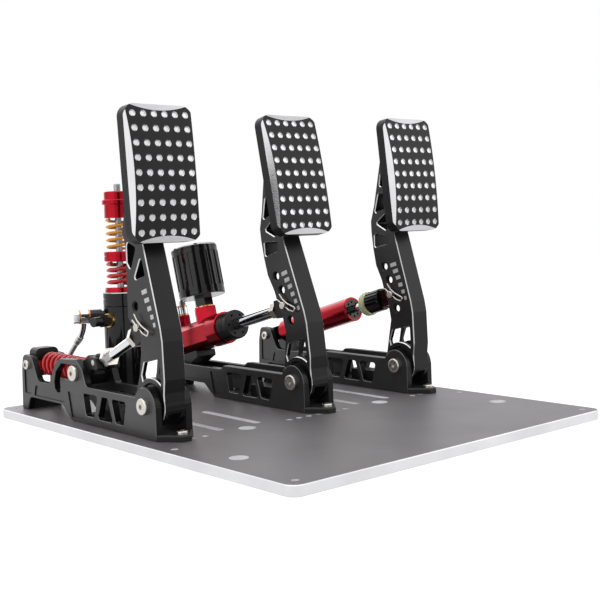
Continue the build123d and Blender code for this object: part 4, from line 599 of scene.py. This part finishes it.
def sleeve(name, profile, finish, path, gone):
    """A turned metal sleeve along the hose, from pairs of distance and radius in millimetres."""
    def at(distance):
        return Vector([np.interp(distance, gone, path[:, k]) for k in range(3)])

    build = bmesh.new()
    rings = []
    side = Vector((1.0, 0.0, 0.0))
    for distance, radius in profile:
        gone_by = distance / MM
        here = at(gone_by)
        before = at(max(gone_by - HEADING_STEP, 0.0))
        heading = (at(gone_by + HEADING_STEP) - before).normalized()
        side = (side - heading * side.dot(heading)).normalized()
        other = heading.cross(side)
        ring = []
        for k in range(SLEEVE_SIDES):
            a = 2 * math.pi * k / SLEEVE_SIDES
            out = math.cos(a) * side + math.sin(a) * other
            ring.append(build.verts.new(here + out * radius / MM))
        rings.append(ring)
    for one, two in zip(rings, rings[1:]):
        band(build, one, two)
    build.faces.new(rings[0][::-1])
    build.faces.new(rings[-1])
    mesh = closed_mesh(build, name, finish)
    mesh.polygons.foreach_set("use_smooth", np.ones(len(mesh.polygons), bool))
    mesh.set_sharp_from_angle(angle=math.radians(SLEEVE_SHARP))
    obj = add_object(name, mesh)
    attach(obj, "frame")
    return obj


hose = hose_curve(HOSE_ROUTE, HOSE_RADIUS, "hose")
hose.data.materials.append(BRAID)
hose_path, hose_gone = spline_points(hose)
PIPE_LENGTH = 20
PIPE_R = 3.5
PIPE_PROFILE = [(d, PIPE_R) for d in range(PIPE_LENGTH + 1)]
FERRULE_PROFILE = [(19.0, 3.7), (19.5, 4.3), (22.0, 4.35), (22.4, 3.95), (23.2, 3.95), (23.6, 4.35),
                   (26.0, 4.35), (26.5, 3.9), (29.0, 3.9), (31.5, 3.8), (32.2, 3.3)]
pipe = sleeve("hose_pipe", PIPE_PROFILE, CHROME, hose_path, hose_gone)
ferrule = sleeve("hose_ferrule", FERRULE_PROFILE, STEEL, hose_path, hose_gone)
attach(hose, "frame")
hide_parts("brake_hose")

# Printed scale marks on the arms' left cheeks: centre in the pedal frame, and length
MARK_HEIGHT = 4.5
MARK_TILT = -15.0
MARK_CORNER = 0.7
MARK_PROUD = (0.02, 0.06)
CORNER_STEPS = 4
CORNERS = ((1, 1), (-1, 1), (-1, -1), (1, -1))
LONG_SCALE = [(8.1, 151.0, 10.0), (4.6, 143.5, 8.5), (0.6, 136.0, 7.5), (-2.9, 127.5, 6.5),
              (-6.9, 119.5, 5.0), (-10.4, 112.0, 4.0)]
SHORT_SCALE = [(6.1, 142.5, 9.5), (2.1, 134.5, 8.5), (-1.9, 126.5, 7.0), (-5.9, 118.5, 5.5),
               (-9.4, 111.0, 4.0)]
SCALES = {"clutch": SHORT_SCALE, "brake": LONG_SCALE, "throttle": LONG_SCALE}


def mark_outline(u, v, length, lean):
    """A bar with round corners, in the pedal frame, leant back with its arm."""
    tilt = math.radians(MARK_TILT)
    a = math.radians(lean)
    outline = []
    for number, (right, top) in enumerate(CORNERS):
        for step in range(CORNER_STEPS):
            turn = math.radians(90 * (number + step / (CORNER_STEPS - 1)))
            p = right * (length / 2 - MARK_CORNER) + MARK_CORNER * math.cos(turn)
            q = top * (MARK_HEIGHT / 2 - MARK_CORNER) + MARK_CORNER * math.sin(turn)
            du = u + p * math.cos(tilt) - q * math.sin(tilt)
            dv = v - HINGE_V + p * math.sin(tilt) + q * math.cos(tilt)
            outline.append((du * math.cos(a) + dv * math.sin(a),
                            dv * math.cos(a) - du * math.sin(a) + HINGE_V))
    return outline


def scale_marks(name):
    """Thin printed bars just proud of the arm's left cheek."""
    build = bmesh.new()
    for u, v, length in SCALES[name]:
        outline = mark_outline(u, v, length, arm_lean(name))
        rings = []
        for proud in MARK_PROUD:
            x = MODULES[name] - ARM_HALF - proud
            places = [(x / MM, (HINGE_Y + a) / MM, (PLATE_TOP + b) / MM) for a, b in outline]
            rings.append([build.verts.new(place) for place in places])
        band(build, *rings)
        build.faces.new(rings[0][::-1])
        build.faces.new(rings[1])
    obj = add_object(f"{name}_scale_marks", closed_mesh(build, f"{name}_scale_marks", MARK))
    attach(obj, f"{name}_pedal")


for name in MODULES:
    scale_marks(name)

# Camera at the photograph's viewing angle: its place in metres, and its turns in degrees
CAMERA_PLACE = (-0.7358, -0.8721, 0.21925)
AZIMUTH = 40.943
ELEVATION = 3.691
ROLL = 1.669
FOCAL_PX = 1043.6
CENTRE_PX = (297.14, 285.67)
PHOTO = 600
SENSOR = 36.0


def make_camera():
    az = math.radians(AZIMUTH)
    el = math.radians(ELEVATION)
    roll = math.radians(ROLL)
    forward = Vector((math.sin(az) * math.cos(el), math.cos(az) * math.cos(el), -math.sin(el)))
    right = Vector((math.cos(az), -math.sin(az), 0.0))
    down = forward.cross(right)
    across = math.cos(roll) * right + math.sin(roll) * down
    below = -math.sin(roll) * right + math.cos(roll) * down
    data = bpy.data.cameras.new("photo_camera")
    camera = add_object("photo_camera", data)
    turned = Matrix((across, -below, -forward)).transposed().to_4x4()
    camera.matrix_world = Matrix.Translation(CAMERA_PLACE) @ turned
    data.sensor_width = SENSOR
    data.lens = FOCAL_PX * SENSOR / PHOTO
    data.shift_x = (PHOTO / 2 - CENTRE_PX[0]) / PHOTO
    data.shift_y = (CENTRE_PX[1] - PHOTO / 2) / PHOTO
    data.clip_start = 0.02
    data.clip_end = 50.0
    bpy.context.scene.camera = camera


make_camera()

# Floor and studio light

WORLD_LEVEL = 0.35
FLOOR_GLOW = 0.92
FLOOR_HALF = 8.0
FLOOR_DROP = 0.0005
FLOOR_PALE = 0.85
SHADOW_PALE = 0.26
# Each lamp: name, place, the point that it faces, size and power
LAMPS = [
    ("left_box", (-2.2, 0.1, 1.2), (0, 0, 0.12), (3.2, 2.8), 19.0),
    ("top_box", (0.1, 0.2, 1.9), (0, 0, 0.1), (2.4, 2.4), 22.0),
    ("right_box", (1.6, -1.4, 1.0), (0, 0, 0.12), (1.6, 1.6), 10.0),
    ("rear_box", (0.3, 2.0, 1.0), (0, 0, 0.15), (2.0, 1.6), 10.0),
]


def seen_rays(tree, path):
    """1 for the rays that show the background: from the camera, in gloss and through glass."""
    value = path.outputs["Is Camera Ray"]
    for other in ("Is Glossy Ray", "Is Transmission Ray"):
        top = tree.nodes.new("ShaderNodeMath")
        top.operation = "MAXIMUM"
        tree.links.new(value, top.inputs[0])
        tree.links.new(path.outputs[other], top.inputs[1])
        value = top.outputs[0]
    return value


def diffuse(tree, level):
    node = tree.nodes.new("ShaderNodeBsdfDiffuse")
    node.inputs["Color"].default_value = (level, level, level, 1)
    return node.outputs[0]


def choose_by_ray(tree, lighting, shown, out):
    """Gives the rays that show the background one shader, and all the others the lighting one."""
    mix = tree.nodes.new("ShaderNodeMixShader")
    path = tree.nodes.new("ShaderNodeLightPath")
    tree.links.new(seen_rays(tree, path), mix.inputs["Fac"])
    tree.links.new(lighting, mix.inputs[1])
    tree.links.new(shown, mix.inputs[2])
    tree.links.new(mix.outputs[0], out.inputs["Surface"])


def floor():
    mesh = bpy.data.meshes.new("floor")
    size = FLOOR_HALF
    corners = [(-size, -size, 0), (size, -size, 0), (size, size, 0), (-size, size, 0)]
    mesh.from_pydata(corners, [], [(0, 1, 2, 3)])
    obj = add_object("floor", mesh)
    mat = bpy.data.materials.new("floor_white")
    mat.use_nodes = True
    tree = mat.node_tree
    tree.nodes.clear()
    glow = tree.nodes.new("ShaderNodeEmission")
    glow.inputs["Strength"].default_value = FLOOR_GLOW
    both = tree.nodes.new("ShaderNodeAddShader")
    tree.links.new(diffuse(tree, SHADOW_PALE), both.inputs[0])
    tree.links.new(glow.outputs[0], both.inputs[1])
    out = tree.nodes.new("ShaderNodeOutputMaterial")
    choose_by_ray(tree, diffuse(tree, FLOOR_PALE), both.outputs[0], out)
    mesh.materials.append(mat)
    obj.location.z = -FLOOR_DROP


def background(tree, strength):
    node = tree.nodes.new("ShaderNodeBackground")
    node.inputs["Color"].default_value = (1, 1, 1, 1)
    node.inputs["Strength"].default_value = strength
    return node.outputs[0]


def world():
    scene_world = bpy.data.worlds.new("studio")
    bpy.context.scene.world = scene_world
    scene_world.use_nodes = True
    tree = scene_world.node_tree
    tree.nodes.clear()
    out = tree.nodes.new("ShaderNodeOutputWorld")
    choose_by_ray(tree, background(tree, WORLD_LEVEL), background(tree, 1.0), out)


def soft_box(name, place, target, size, power):
    data = bpy.data.lights.new(name, "AREA")
    data.shape = "RECTANGLE"
    data.size, data.size_y = size
    data.energy = power
    lamp = add_object(name, data)
    lamp.location = place
    lamp.rotation_mode = "QUATERNION"
    lamp.rotation_quaternion = (Vector(target) - Vector(place)).to_track_quat("-Z", "Y")


floor()
world()
for lamp in LAMPS:
    soft_box(*lamp)

bpy.context.scene.view_settings.view_transform = "Standard"
